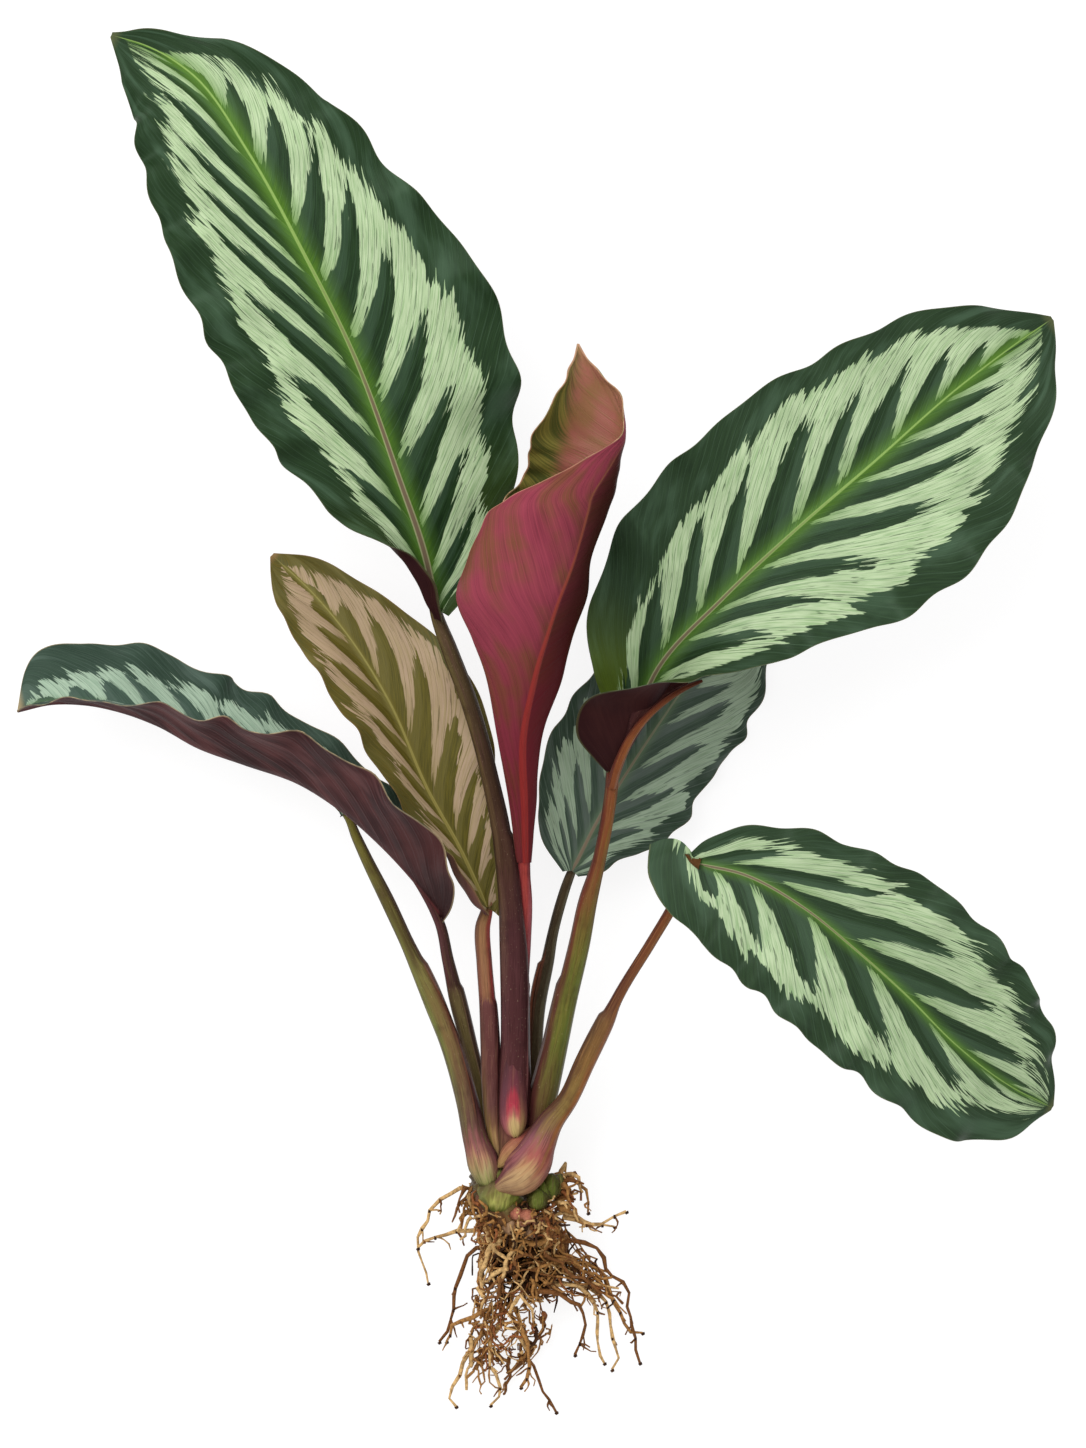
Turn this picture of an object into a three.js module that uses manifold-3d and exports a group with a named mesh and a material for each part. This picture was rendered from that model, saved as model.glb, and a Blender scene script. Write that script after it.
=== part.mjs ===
// Bare-root prayer plant with peacock-patterned leaves, lying on a surface as it was lifted.
// Millimetres. +Y runs from the roots up the plant, +X to its right, +Z up from the surface.
// The origin is the flat spot under the root clump that the plant rests on.

import * as THREE from 'three';
import Module from 'manifold-3d';

const wasm = await Module();
wasm.setup();

// Driving dimensions
const BLADE_THICKNESS = 0.7;
const SEAT_GAP = 0.3;          // clearance between pieces that touch
const RIB_DEPTH = 1.5;         // how far a midrib stands out under the blade at its base
const RIB_DEPTH_AT_TIP = 0.3;
const PETIOLE_SIDES = 8;
const PETIOLE_RINGS = 14;
const PETIOLE_UNDER_BLADE = 2; // length of petiole that runs on under the blade
const BLADE_ROWS = 28;
const CREASE_BY = 0.12;        // a half turns up by its crease within this share of its width
const FOLD_STEPS = 24;         // steps that a half's fold is summed in, from the midrib outwards
const END_ROW = 0.4;           // an extra row this share of a step from each end rounds the outline
const BLADE_COLUMNS = [-1, -0.72, -0.38, -0.07, 0, 0.07, 0.38, 0.72, 1];
const FOLDED_COLUMNS = [-1, -0.6, -0.25, -0.07, 0, 0.07, 0.16, 0.26, 0.38, 0.7, 1];
const ROLLED_COLUMNS = [-1, -0.82, -0.6, -0.3, -0.06, 0, 0.06, 0.3, 0.6, 0.8, 1];

// Colours, as seen from a step away
const COLOURS = {
  green: 0x4f7a55,
  greyGreen: 0x5d7d68,
  olive: 0x8a7a4a,
  maroon: 0x4b2d30,
  pink: 0x96405a,
  darkStem: 0x4a2f2c,
  redStem: 0x8a4a38,
  greenStem: 0x6d7038,
  orangeStem: 0x96633c,
  rhizome: 0x7d8a45,
  bud: 0xb0525a,
  root: 0x9a7447,
};

const BLADE_COLOURS = {
  tall_left: 'green',
  olive: 'olive',
  drooping_left: 'maroon',
  hidden_left: 'greyGreen',
  back_right: 'greyGreen',
  broad_right: 'green',
  low_right: 'green',
};
const ROUGHNESS = { blade: 0.45, petiole: 0.45, bud: 0.5, rhizome: 0.6, root: 0.85 };

// Each blade has its midrib from base to tip, and for each half:
//   width   [place along the midrib 0-1, width in mm measured along the surface]
//   crease  [place, degrees the half turns up from the plane across the midrib]
//   roll    [place, further degrees it turns between rollFrom and rollBy of its width]
//   sweep   [place, mm that the margin lies further towards the tip than the row's midrib point]
//   waves   number of waves along the margin
const BLADES = {
  tall_left: {
    midrib: [[-29, 258, 60], [-33, 277.5, 63], [-43, 307.5, 69], [-59.5, 352.5, 76], [-78, 390, 80],
      [-98, 426.5, 79], [-119, 456, 72], [-136, 467, 64], [-149.5, 471.5, 57]],
    facing: [[0, [0.1, 0, 1]], [0.5, [0.12, 0, 1]], [1, [0, 0.1, 1]]],
    waveHeight: 3.2,
    left: {
      width: [[0, 3], [0.02, 8], [0.05, 12], [0.1, 18], [0.15, 24], [0.2, 31], [0.3, 42], [0.4, 47],
        [0.6, 46.5], [0.7, 42], [0.8, 35], [0.87, 28], [0.93, 19], [0.97, 10], [1, 1]],
      crease: [[0, 20], [0.2, 14], [1, 12]],
      roll: [[0, 150], [0.06, 150], [0.13, 60], [0.2, 0], [1, 0]],
      rollFrom: 0.45,
      rollBy: 0.8,
      sweep: [[0, -4], [0.1, 0], [1, 0]],
      waves: 9.5,
      phase: 0.3,
    },
    right: {
      width: [[0, 4], [0.02, 12], [0.05, 24], [0.1, 36], [0.15, 43], [0.2, 48], [0.3, 54.5], [0.4, 56],
        [0.5, 51], [0.6, 43], [0.7, 37], [0.8, 26], [0.87, 15], [0.93, 7], [0.97, 3.5], [1, 1]],
      crease: [[0, 2], [0.1, -10], [0.2, -6], [0.35, 6], [1, 10]],
      roll: [[0, 0], [1, 0]],
      sweep: [[0, -3], [0.1, 0], [1, 0]],
      waves: 7.5,
      phase: 0.1,
    },
  },
  olive: {
    midrib: [[-10.5, 148, 37], [-20, 169, 41], [-32, 191, 43], [-47, 225, 43], [-61, 247.5, 40],
      [-75, 264.5, 35], [-90.5, 279, 29]],
    facing: [[0, [-0.1, 0, 1]], [1, [0, 0, 1]]],
    waveHeight: 1.6,
    left: {
      width: [[0, 2.5], [0.03, 9], [0.07, 12], [0.12, 13], [0.2, 14], [0.3, 15], [0.4, 17.5], [0.5, 20.5],
        [0.6, 21.5], [0.7, 20.5], [0.8, 18], [0.87, 15.5], [0.93, 10.5], [0.97, 5.5], [1, 1]],
      crease: [[0, 40], [0.2, 45], [0.5, 45], [0.8, 32], [1, 20]],
      roll: [[0, 110], [0.1, 100], [0.2, 30], [0.3, 0], [1, 0]],
      rollFrom: 0.35,
      rollBy: 0.8,
      sweep: [[0, -3], [0.1, 0], [1, 0]],
      waves: 6,
      phase: 0.2,
    },
    right: {
      width: [[0, 3], [0.03, 7.5], [0.1, 12.5], [0.2, 19.5], [0.3, 27], [0.4, 31], [0.5, 31], [0.6, 28],
        [0.7, 22], [0.8, 16.5], [0.87, 13], [0.93, 8.5], [0.97, 4.5], [1, 1]],
      crease: [[0, -6], [0.3, 0], [1, 8]],
      roll: [[0, 0], [1, 0]],
      sweep: [[0, -6], [0.08, -2], [0.15, 0], [1, 0]],
      waves: 5,
      phase: 0.5,
    },
  },
  drooping_left: {
    midrib: [[-26, 145, 40.5], [-35.5, 157.5, 42.5], [-49, 172, 44], [-64.5, 185.3, 45],
      [-79.7, 194.8, 45.5],
      [-100.3, 202, 46], [-117.3, 208, 46], [-132, 216, 45], [-145.4, 221, 44], [-160.5, 224, 42],
      [-172.5, 224, 40], [-185, 221, 37]],
    facing: [[0, [0.8, 0.5, 0.3]], [0.25, [0.5, 0.82, 0.28]], [0.5, [0.34, 0.92, 0.24]],
      [0.8, [0.2, 0.96, 0.24]], [1, [0, 0.95, 0.35]]],
    waveHeight: 1.8,
    left: {
      width: [[0, 3], [0.03, 14], [0.08, 25], [0.15, 31], [0.25, 34], [0.4, 37], [0.55, 34], [0.65, 29],
        [0.8, 23], [0.9, 15], [0.96, 8], [1, 1]],
      crease: [[0, 38], [0.1, 38], [0.25, 44], [0.7, 46], [1, 40]],
      roll: [[0, 0], [1, 0]],
      sweep: [[0, -4], [0.1, 0], [1, 0]],
      waves: 7,
      phase: 0.15,
    },
    right: {
      width: [[0, 3], [0.05, 11], [0.15, 17], [0.25, 20], [0.38, 24], [0.5, 31], [0.6, 34.5], [0.7, 32],
        [0.78, 32], [0.86, 29], [0.93, 20], [0.97, 11], [1, 1]],
      crease: [[0, 40], [0.3, 42], [1, 42]],
      roll: [[0, 0], [1, 0]],
      sweep: [[0, -2], [0.1, 0], [1, 0]],
      waves: 7.5,
      phase: 0.4,
    },
  },
  hidden_left: {
    midrib: [[-63.5, 183, 20], [-86, 204.5, 12.5], [-115, 221.5, 6.2], [-141, 232, 5.2], [-157, 236, 6]],
    facing: [[0, [0, 0.1, 1]], [1, [0, 0.1, 1]]],
    waveHeight: 0.8,
    left: {
      width: [[0, 2], [0.1, 5], [0.3, 9.5], [0.5, 12], [0.7, 10.5], [0.88, 6], [1, 0.8]],
      crease: [[0, -10], [0.4, -32], [0.7, -32], [1, -15]],
      roll: [[0, 0], [1, 0]],
      sweep: [[0, 0], [1, 0]],
      waves: 4,
      phase: 0,
    },
    right: {
      width: [[0, 2], [0.1, 5], [0.3, 9.5], [0.5, 12], [0.7, 10.5], [0.88, 6], [1, 0.8]],
      crease: [[0, 20], [1, 20]],
      roll: [[0, 0], [1, 0]],
      sweep: [[0, 0], [1, 0]],
      waves: 4,
      phase: 0.5,
    },
  },
  back_right: {
    midrib: [[21.4, 161.3, 26], [32, 182, 24.5], [41.3, 197, 20.5], [52.5, 214, 15.5], [65.6, 232.5, 11.2],
      [79, 248, 9], [91, 263, 9]],
    facing: [[0, [0, 0, 1]], [1, [0, 0, 1]]],
    waveHeight: 1.8,
    left: {
      width: [[0, 3], [0.04, 14], [0.08, 19], [0.14, 23.5], [0.25, 30.5], [0.4, 32.5], [0.55, 31],
        [0.7, 26.5], [0.85, 17], [0.95, 8], [1, 1]],
      crease: [[0, 10], [1, 10]],
      roll: [[0, 0], [1, 0]],
      sweep: [[0, -2], [0.1, 0], [1, 0]],
      waves: 6,
      phase: 0.3,
    },
    right: {
      width: [[0, 3], [0.04, 10.5], [0.09, 14], [0.14, 20], [0.25, 27.5], [0.34, 29], [0.42, 29], [0.5, 29],
        [0.6, 31], [0.67, 30], [0.75, 28], [0.85, 21], [0.95, 10], [1, 1]],
      crease: [[0, 0], [0.3, -14], [0.6, -21], [1, -12]],
      roll: [[0, 0], [1, 0]],
      sweep: [[0, -1], [0.1, 0], [1, 0]],
      waves: 6.5,
      phase: 0,
    },
  },
  broad_right: {
    midrib: [[36.4, 199.5, 50], [44, 216, 54], [52.5, 235.5, 58], [77, 262.5, 66], [103, 287, 71],
      [133, 313, 72], [163, 339.5, 68], [184.5, 356, 60], [199.5, 366.5, 51]],
    facing: [[0, [0, 0, 1]], [1, [0, 0, 1]]],
    waveHeight: 2.8,
    columns: FOLDED_COLUMNS,
    left: {
      width: [[0, 3], [0.03, 12], [0.06, 17], [0.1, 21], [0.15, 27], [0.2, 36], [0.3, 47], [0.4, 49],
        [0.5, 49], [0.6, 47], [0.7, 40.5], [0.8, 34], [0.87, 25], [0.93, 15], [0.97, 7], [1, 1]],
      crease: [[0, 20], [0.2, 12], [1, 8]],
      roll: [[0, 0], [1, 0]],
      sweep: [[0, -3], [0.1, 0], [1, 0]],
      waves: 7,
      phase: 0.1,
    },
    right: {
      width: [[0, 3], [0.03, 17], [0.06, 24], [0.1, 29], [0.15, 30], [0.2, 29.5], [0.3, 31], [0.4, 39],
        [0.5, 50], [0.6, 53], [0.7, 51], [0.8, 41.5], [0.87, 33], [0.93, 21], [0.97, 11.5], [1, 1]],
      crease: [[0, 10], [0.3, 8], [1, 6]],
      roll: [[0, 175], [0.08, 168], [0.11, 145], [0.15, 108], [0.2, 72], [0.25, 46], [0.3, 22],
        [0.37, 0], [1, 0]],
      rollFrom: 0,
      rollBy: 0.42,
      sweep: [[0, -2], [0.1, 0], [1, 0]],
      waves: 7.5,
      phase: 0.4,
    },
  },
  low_right: {
    midrib: [[65.5, 164.6, 76], [84.5, 160.5, 80], [107, 148, 84], [125.5, 133, 85], [144.5, 116, 82],
      [162.5, 98, 75], [181, 83.5, 64], [199.5, 73.5, 51]],
    facing: [[0, [0, 0, 1]], [1, [0.1, -0.1, 1]]],
    waveHeight: 2.6,
    left: {
      width: [[0, 4], [0.02, 8.5], [0.05, 12.5], [0.1, 18], [0.2, 26], [0.3, 31], [0.4, 37],
        [0.5, 38.5], [0.6, 38.5], [0.7, 37.5], [0.8, 32], [0.87, 26.5], [0.93, 18], [0.97, 9], [1, 1]],
      crease: [[0, 12], [1, 8]],
      roll: [[0, 0], [1, 0]],
      sweep: [[0, -1], [0.1, 0], [1, 0]],
      waves: 7.5,
      phase: 0.6,
    },
    right: {
      width: [[0, -4], [0.015, 9], [0.036, 18.5], [0.07, 24], [0.12, 30], [0.2, 34.5], [0.3, 36],
        [0.5, 37], [0.6, 34], [0.7, 32], [0.8, 30], [0.87, 24.5], [0.93, 16], [0.97, 8], [1, 1]],
      crease: [[0, 14], [0.2, 8], [1, 8]],
      roll: [[0, -30], [0.15, 0], [1, 0]],
      rollFrom: 0.3,
      rollBy: 1,
      sweep: [[0, -14.5], [0.02, -13.5], [0.04, -12], [0.07, -9], [0.12, -5], [0.2, 0], [1, 0]],
      waves: 7.5,
      phase: 0.2,
    },
  },
};

// The young leaf is still rolled. Down its length it has the middle of the roll, its half-width and
// half-depth, and the places round it of the midrib and both margins: 0 is the front, 90 the right.
const ROLLED_LEAF = {
  //        [x,    y,    z], halfWidth, halfDepth, midrib, outerMargin, innerMargin
  rings: [
    [[3.4, 164.5, 46.9], 2.9, 2.7, 5, -80, 200],
    [[3, 187.5, 57], 5.3, 4.6, 5, -85, 275],
    [[2, 210, 68], 8.3, 7.2, 8, -95, 315],
    [[3.8, 232.5, 79], 14.2, 12, 15, -95, 330],
    [[3, 247.5, 85], 18.7, 15.5, 28, -93, 335],
    [[2.8, 262.5, 89], 24.3, 19, 35, -90, 332],
    [[5.8, 277.5, 92], 23, 19, 46, -82, 300],
    [[11.2, 292.5, 95], 23, 19, 42, -69, 255],
    [[14.2, 300, 96], 22.5, 18.5, 40, -40, 235],
    [[17, 307.5, 97], 21.3, 17.5, 50, -4, 222],
    [[20, 315, 98], 19.5, 16, 66, 27, 232],
    [[23, 322.5, 98], 18, 14.5, 90, 64, 248],
    [[27, 337.5, 98], 12, 10, 150, 103, 252],
    [[24.8, 347.5, 96], 5.5, 5, 170, 120, 235],
    [[23.4, 356, 93], 0.9, 0.8, 180, 150, 210],
  ],
  rows: 27,
  layerStep: 3.2,   // how far the inner layer lies under the outer one where the roll is wide
};

// Petioles with their sheaths: [x, y, z], half-width, half-depth, from the crown to the blade.
// drop is how much further under its blade a petiole lies, where the blade's folds reach down there.
const PETIOLES = {
  low_right: {
    blade: 'low_right',
    colour: 'orangeStem',
    tip: 1.7,
    drop: -0.6,
    stations: [
      [[-4.5, 42.5, 34], 3.4, 4.2], [[2.8, 46.3, 37], 6.2, 5.2], [[8.6, 52.5, 38.5], 6, 5],
      [[12.4, 60, 39], 4.7, 4.5],
      [[15.4, 67.5, 39], 3.9, 3.9], [[19, 75, 39.5], 3.7, 3.7], [[26.2, 90, 42], 3.6, 3.5],
      [[33.8, 105, 46], 3, 3],
      [[37.5, 113, 48.5], 2.1, 2.1], [[50.6, 135, 57], 1.9, 1.9], [[58, 147.5, 63], 1.9, 1.9]],
  },
  hidden_left: {
    blade: 'hidden_left',
    colour: 'greenStem',
    tip: 1.4,
    stations: [
      [[-9.5, 44, 28], 4.2, 4.5], [[-12, 51, 30], 6.3, 5.4], [[-14.4, 60, 31], 4.9, 4.7],
      [[-17.6, 75, 31], 4.2, 4.1],
      [[-24.2, 97.5, 30.5], 3.9, 3.7], [[-30.3, 112.5, 29], 3.8, 3.5], [[-37, 127.5, 27], 3, 2.9],
      [[-40.5, 135, 26], 2.6, 2.5], [[-47.5, 150, 24], 2.6, 2.5], [[-55, 165, 21.5], 2.2, 2.2],
      [[-59, 173.5, 20], 1.9, 1.9]],
  },
  tall_left: {
    blade: 'tall_left',
    colour: 'darkStem',
    tip: 2.2,
    drop: 0.1,
    stations: [
      [[-1, 50, 28], 5.4, 4.6], [[-0.5, 67.5, 31], 6, 5.2], [[0, 82.5, 33], 6, 5.2],
      [[0.2, 97.5, 34.5], 5.5, 5],
      [[0, 120, 38], 5.4, 4.9], [[-0.6, 135, 40.5], 5.1, 4.6], [[-1.8, 150, 43.5], 4.2, 4],
      [[-3.4, 165, 46], 3.8, 3.6],
      [[-5.6, 180, 48.5], 3.5, 3.4], [[-8.9, 195, 51], 3.2, 3.1], [[-12.6, 210, 53], 3.1, 3],
      [[-17.2, 225, 55], 3.1, 2.9], [[-24, 243, 56.5], 3, 2.6]],
  },
  furled: {
    blade: 'furled',
    colour: 'redStem',
    tip: 2.2,
    stations: [
      [[1.6, 92, 31.5], 2, 2], [[2.4, 112.5, 34.5], 2.2, 2.2], [[3.6, 135, 38.5], 2.4, 2.4],
      [[4, 150, 42], 2.5, 2.4],
      [[3.6, 159, 44.5], 2.3, 2.2], [[3.4, 163.8, 46.9], 1.2, 1.1], [[3.3, 166, 48], 1, 1]],
  },
  broad_right: {
    blade: 'broad_right',
    colour: 'redStem',
    tip: 2.3,
    drop: 0.6,
    stations: [
      [[5.5, 49, 26], 3.6, 3.6], [[8, 62, 29], 4.7, 4.4], [[10.2, 75, 31.5], 5.1, 4.7],
      [[11.9, 82.5, 32.5], 5.1, 4.7],
      [[15.4, 97.5, 34.5], 4.6, 4.3], [[18.8, 112.5, 36.5], 4.2, 4], [[24.2, 135, 40], 3.9, 3.7],
      [[27.2, 150, 42.5], 3.5, 3.3], [[31.3, 165, 45], 2.5, 2.4], [[34.3, 180, 47], 2.4, 2.3],
      [[36, 192, 47.5], 2.4, 2.2]],
  },
  olive: {
    blade: 'olive',
    colour: 'redStem',
    tip: 2,
    drop: 0.6,
    stations: [
      [[-4.5, 48, 26], 2.2, 2.6], [[-5.8, 56, 28], 2.8, 3.2], [[-7.4, 67.5, 30], 3.7, 3.7],
      [[-8.5, 82.5, 31.5], 3.9, 3.8],
      [[-9.2, 97.5, 32.5], 3.6, 3.5], [[-10.2, 112.5, 33], 3.1, 3], [[-11.4, 127.5, 33.5], 2.9, 2.8],
      [[-12, 140, 34], 2.8, 2.7]],
  },
  drooping_left: {
    blade: 'drooping_left',
    colour: 'darkStem',
    tip: 1.8,
    drop: -0.3,
    stations: [
      [[-7, 50, 20], 2.3, 2.3], [[-9.5, 60, 20], 2.6, 2.4], [[-13, 80, 21], 2.8, 2.5],
      [[-17.4, 97.5, 24], 3, 2.6], [[-21.4, 112.5, 28], 2.9, 2.6], [[-24.8, 127.5, 34], 2.2, 2.1]],
  },
  back_right: {
    blade: 'back_right',
    colour: 'darkStem',
    tip: 1.6,
    stations: [
      [[4.5, 50, 17], 2.2, 2.2], [[5.8, 62, 17.5], 2.5, 2.3], [[7, 82.5, 18.5], 2.7, 2.4],
      [[8.9, 112.5, 20], 2.8, 2.5],
      [[12.2, 127.5, 21], 2.4, 2.2], [[14, 137, 21.7], 2, 1.9], [[17.4, 150, 22.6], 1.9, 1.8],
      [[19.5, 156.5, 23], 1.8, 1.7]],
  },
};
const SEATING_ORDER = [
  'low_right', 'hidden_left', 'tall_left', 'broad_right', 'olive', 'drooping_left', 'back_right'];

// Small pointed shoot in the fork between the sheaths
const SHOOT_BUD = {
  stations: [
    [[-1, 61, 37.5], 3.4, 2.4], [[-0.8, 66, 38.5], 3.8, 2.8], [[-0.6, 72, 39], 3.2, 2.4],
    [[-0.9, 78, 39.2], 1.6, 1.4], [[-1.2, 81.5, 39.2], 0.5, 0.5]],
  sides: 8,
  rings: 6,
};

// Crown of the rhizome, down to where the roots start
const RHIZOME = {
  stations: [
    [[-2, 56.5, 24], 6, 6.5], [[-3, 52, 24.5], 10, 10.5], [[-5, 46, 25], 11.4, 11.5],
    [[-5.5, 40, 24.5], 10.4, 11], [[-4, 35, 23.5], 9.2, 10], [[-2.5, 31, 22.5], 7.5, 8.5]],
  sides: 12,
  rings: 9,
};
const RHIZOME_BUDS = [
  // middle, radius
  [[8.5, 43.5, 30], 4.6], [[13, 47.5, 27], 3.4], [[4.5, 38, 32.5], 4], [[-11, 38, 31], 3.2]];

// Root clump: [x, y, z], half-width, half-depth
const ROOT_CORE = {
  stations: [
    [[0, 38, 21], 6, 7], [[2, 30, 19], 11, 12], [[3.5, 21, 15.5], 12.5, 13], [[3, 11, 12.5], 11.5, 12.3],
    [[1, 2, 11], 9.5, 11.9], [[-3, -7, 10], 7.5, 10.4], [[-6, -16, 8], 4.5, 6], [[-8, -23, 6], 2, 2.5]],
  sides: 16,
  rings: 9,
};
const CORE_FLUTES = 1.1;       // the clump is bundled roots, so its side is ridged
const ROOT_TIP_RADIUS = 0.35;
const LONG_ROOTS = [
  [[-3, 37, 20], [-17, 43, 22], [-33, 31, 17], [-36.5, 21.5, 12], [-32, 6.5, 7]],
  [[-4, 28, 18], [-16, 27, 21], [-28, 25, 17], [-37.5, 20.5, 14]],
  [[-5, 20, 14], [-14, 20.5, 15], [-22.5, 4, 9], [-24.5, -9.5, 5], [-28, -15, 3]],
  [[-4, -2, 12], [-12, -4, 15], [-22.5, -9.5, 9], [-26, -16, 4]],
  [[-6, -10, 9], [-15, -15, 8], [-20, -26.5, 5], [-24.5, -37.5, 3], [-22.5, -40.5, 2]],
  [[-5, -8, 12], [-9.5, -17, 11], [-7, -30, 7], [-5, -35, 5], [-9, -39, 3]],
  [[-2, -4, 12], [3.8, -15, 10], [7.5, -28, 6], [13, -37, 4], [16, -41.5, 2]],
  [[0, -2, 14], [5.5, -17, 14], [5.5, -26.5, 10], [2.5, -32, 6]],
  [[6, 30, 20], [17, 34, 24], [27, 30, 21], [32, 28, 18], [37, 28, 16]],
  [[18, 32, 22], [31, 29.5, 24], [41.5, 34, 22]],
  [[8, 22, 16], [32, 19, 17], [34, 12, 14], [41.5, 6, 11], [42.5, -4, 8], [45, -15, 5], [46, -23.5, 3]],
  [[8, 15, 14], [32, 11.5, 12], [37.5, 0, 9], [43, -11.5, 6], [48, -12, 4]],
  [[6, 8, 12], [32, 2, 8], [37.5, -19, 5], [38.5, -22.5, 4], [37, -26.5, 3]],
  [[6, 4, 16], [22, 6, 17], [30, 0, 14], [31, -11.5, 9], [33, -24, 4]],
  [[4, 4, 18], [18, 3, 20], [24, -1, 17], [26, -8.5, 11], [23, -20.5, 6]],
  [[2, 34, 24], [12, 42, 26], [20.5, 47, 27], [26.5, 39.5, 23], [28, 33, 20]],
];
const LONG_ROOT = { radius: 0.8, sides: 4, ringsPerBend: 2 };
const FINE_ROOT = { radius: 0.75, sides: 3, ringsPerBend: 1 };
const FINE_ROOTS = 60;
const FINE_ROOT_BENDS = 4;
const FINE_ROOT_REACH = [14, 32];  // how far down the clump a fine root runs
const FINE_ROOT_SPREAD = [1, 8];   // and how far its end stands off
const FINE_ROOT_WANDER = 3;
const ROOT_SEED = 4021;
const GROUND = { width: 200, depth: 20 };  // the surface trims the clump to a flat spot

function seededRandom(seed) {
  let state = seed;
  return () => {
    state = (state + 0x6d2b79f5) | 0;
    let mixed = Math.imul(state ^ (state >>> 15), 1 | state);
    mixed = (mixed + Math.imul(mixed ^ (mixed >>> 7), 61 | mixed)) ^ mixed;
    return ((mixed ^ (mixed >>> 14)) >>> 0) / 4294967296;
  };
}

// A smooth value along stations of [place, value], where a value is a number or a list
function along(stations, place) {
  const last = stations.length - 1;
  const at = (i) => [].concat(stations[i][1]);
  const slope = (i, part) => {
    const before = Math.max(i - 1, 0);
    const after = Math.min(i + 1, last);
    return (at(after)[part] - at(before)[part]) / (stations[after][0] - stations[before][0]);
  };
  let i = 0;
  while (i < last - 1 && place > stations[i + 1][0]) i += 1;
  const span = stations[i + 1][0] - stations[i][0];
  const u = (place - stations[i][0]) / span;
  const values = at(i).map((start, part) => {
    const end = at(i + 1)[part];
    return (2 * u ** 3 - 3 * u ** 2 + 1) * start + (u ** 3 - 2 * u ** 2 + u) * span * slope(i, part)
      + (3 * u ** 2 - 2 * u ** 3) * end + (u ** 3 - u ** 2) * span * slope(i + 1, part);
  });
  return values.length > 1 ? values : values[0];
}

function smoothStep(low, high, value) {
  const u = THREE.MathUtils.clamp((value - low) / (high - low), 0, 1);
  return u * u * (3 - 2 * u);
}

function vector(xyz) {
  return new THREE.Vector3(...xyz);
}

function curveThrough(points) {
  return new THREE.CatmullRomCurve3(points.map(vector), false, 'chordal');
}

// The midrib's point, its direction, the way the upper side faces, and the right-hand direction
function midribFrame(blade, place) {
  blade.curve ??= curveThrough(blade.midrib);
  const origin = blade.curve.getPointAt(place);
  const tangent = blade.curve.getTangentAt(place);
  const facing = vector(along(blade.facing, place));
  facing.addScaledVector(tangent, -facing.dot(tangent)).normalize();
  const right = new THREE.Vector3().crossVectors(tangent, facing);
  return { origin, tangent, facing, right };
}

// A point of a blade's upper side. side is -1 at the left margin, 0 at the midrib, 1 at the right one.
function bladePoint(blade, place, side) {
  const { origin, tangent, facing, right } = midribFrame(blade, place);
  const half = side < 0 ? blade.left : blade.right;
  const out = Math.abs(side);
  const outward = right.multiplyScalar(Math.sign(side) || 1);
  const width = along(half.width, place);
  const crease = THREE.MathUtils.degToRad(along(half.crease, place));
  const roll = THREE.MathUtils.degToRad(along(half.roll, place));
  const { rollFrom = 0, rollBy = 1 } = half;
  const angleAt = (x) => crease * smoothStep(0, CREASE_BY, x) + roll * smoothStep(rollFrom, rollBy, x);
  let across = 0;
  let up = 0;
  for (let i = 0; i < FOLD_STEPS; i += 1) {
    const angle = angleAt(out * (i + 0.5) / FOLD_STEPS);
    across += Math.cos(angle) * out / FOLD_STEPS;
    up += Math.sin(angle) * out / FOLD_STEPS;
  }
  const marginAngle = angleAt(out);
  const wave = blade.waveHeight * out ** 3 * smoothStep(0, 0.15, place) * smoothStep(1, 0.9, place)
    * Math.sin(2 * Math.PI * (half.waves * place + half.phase));
  const sweep = along(half.sweep, place) * out ** 1.3;
  return origin
    .addScaledVector(outward, across * width - wave * Math.sin(marginAngle))
    .addScaledVector(facing, up * width + wave * Math.cos(marginAngle))
    .addScaledVector(tangent, sweep);
}

// A point of the rolled leaf's outer side, which is the blade's underside
function rolledPoint(place, side) {
  const { rings, layerStep } = ROLLED_LEAF;
  const stations = rings.map((ring, i) => [i / (rings.length - 1), [...ring[0], ...ring.slice(1)]]);
  const [x, y, z, halfWidth, halfDepth, midrib, outer, inner] = along(stations, place);
  const degrees = side < 0 ? midrib + (midrib - outer) * side : midrib + (inner - midrib) * side;
  const turn = (degrees - outer) / 360;
  const angle = THREE.MathUtils.degToRad(degrees);
  const tuck = layerStep * smoothStep(0.3, 1.2, turn) * Math.min(1, halfDepth / 9);
  return new THREE.Vector3(
    x + (halfWidth - tuck) * Math.sin(angle), y, z + (halfDepth - tuck) * Math.cos(angle));
}

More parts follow.
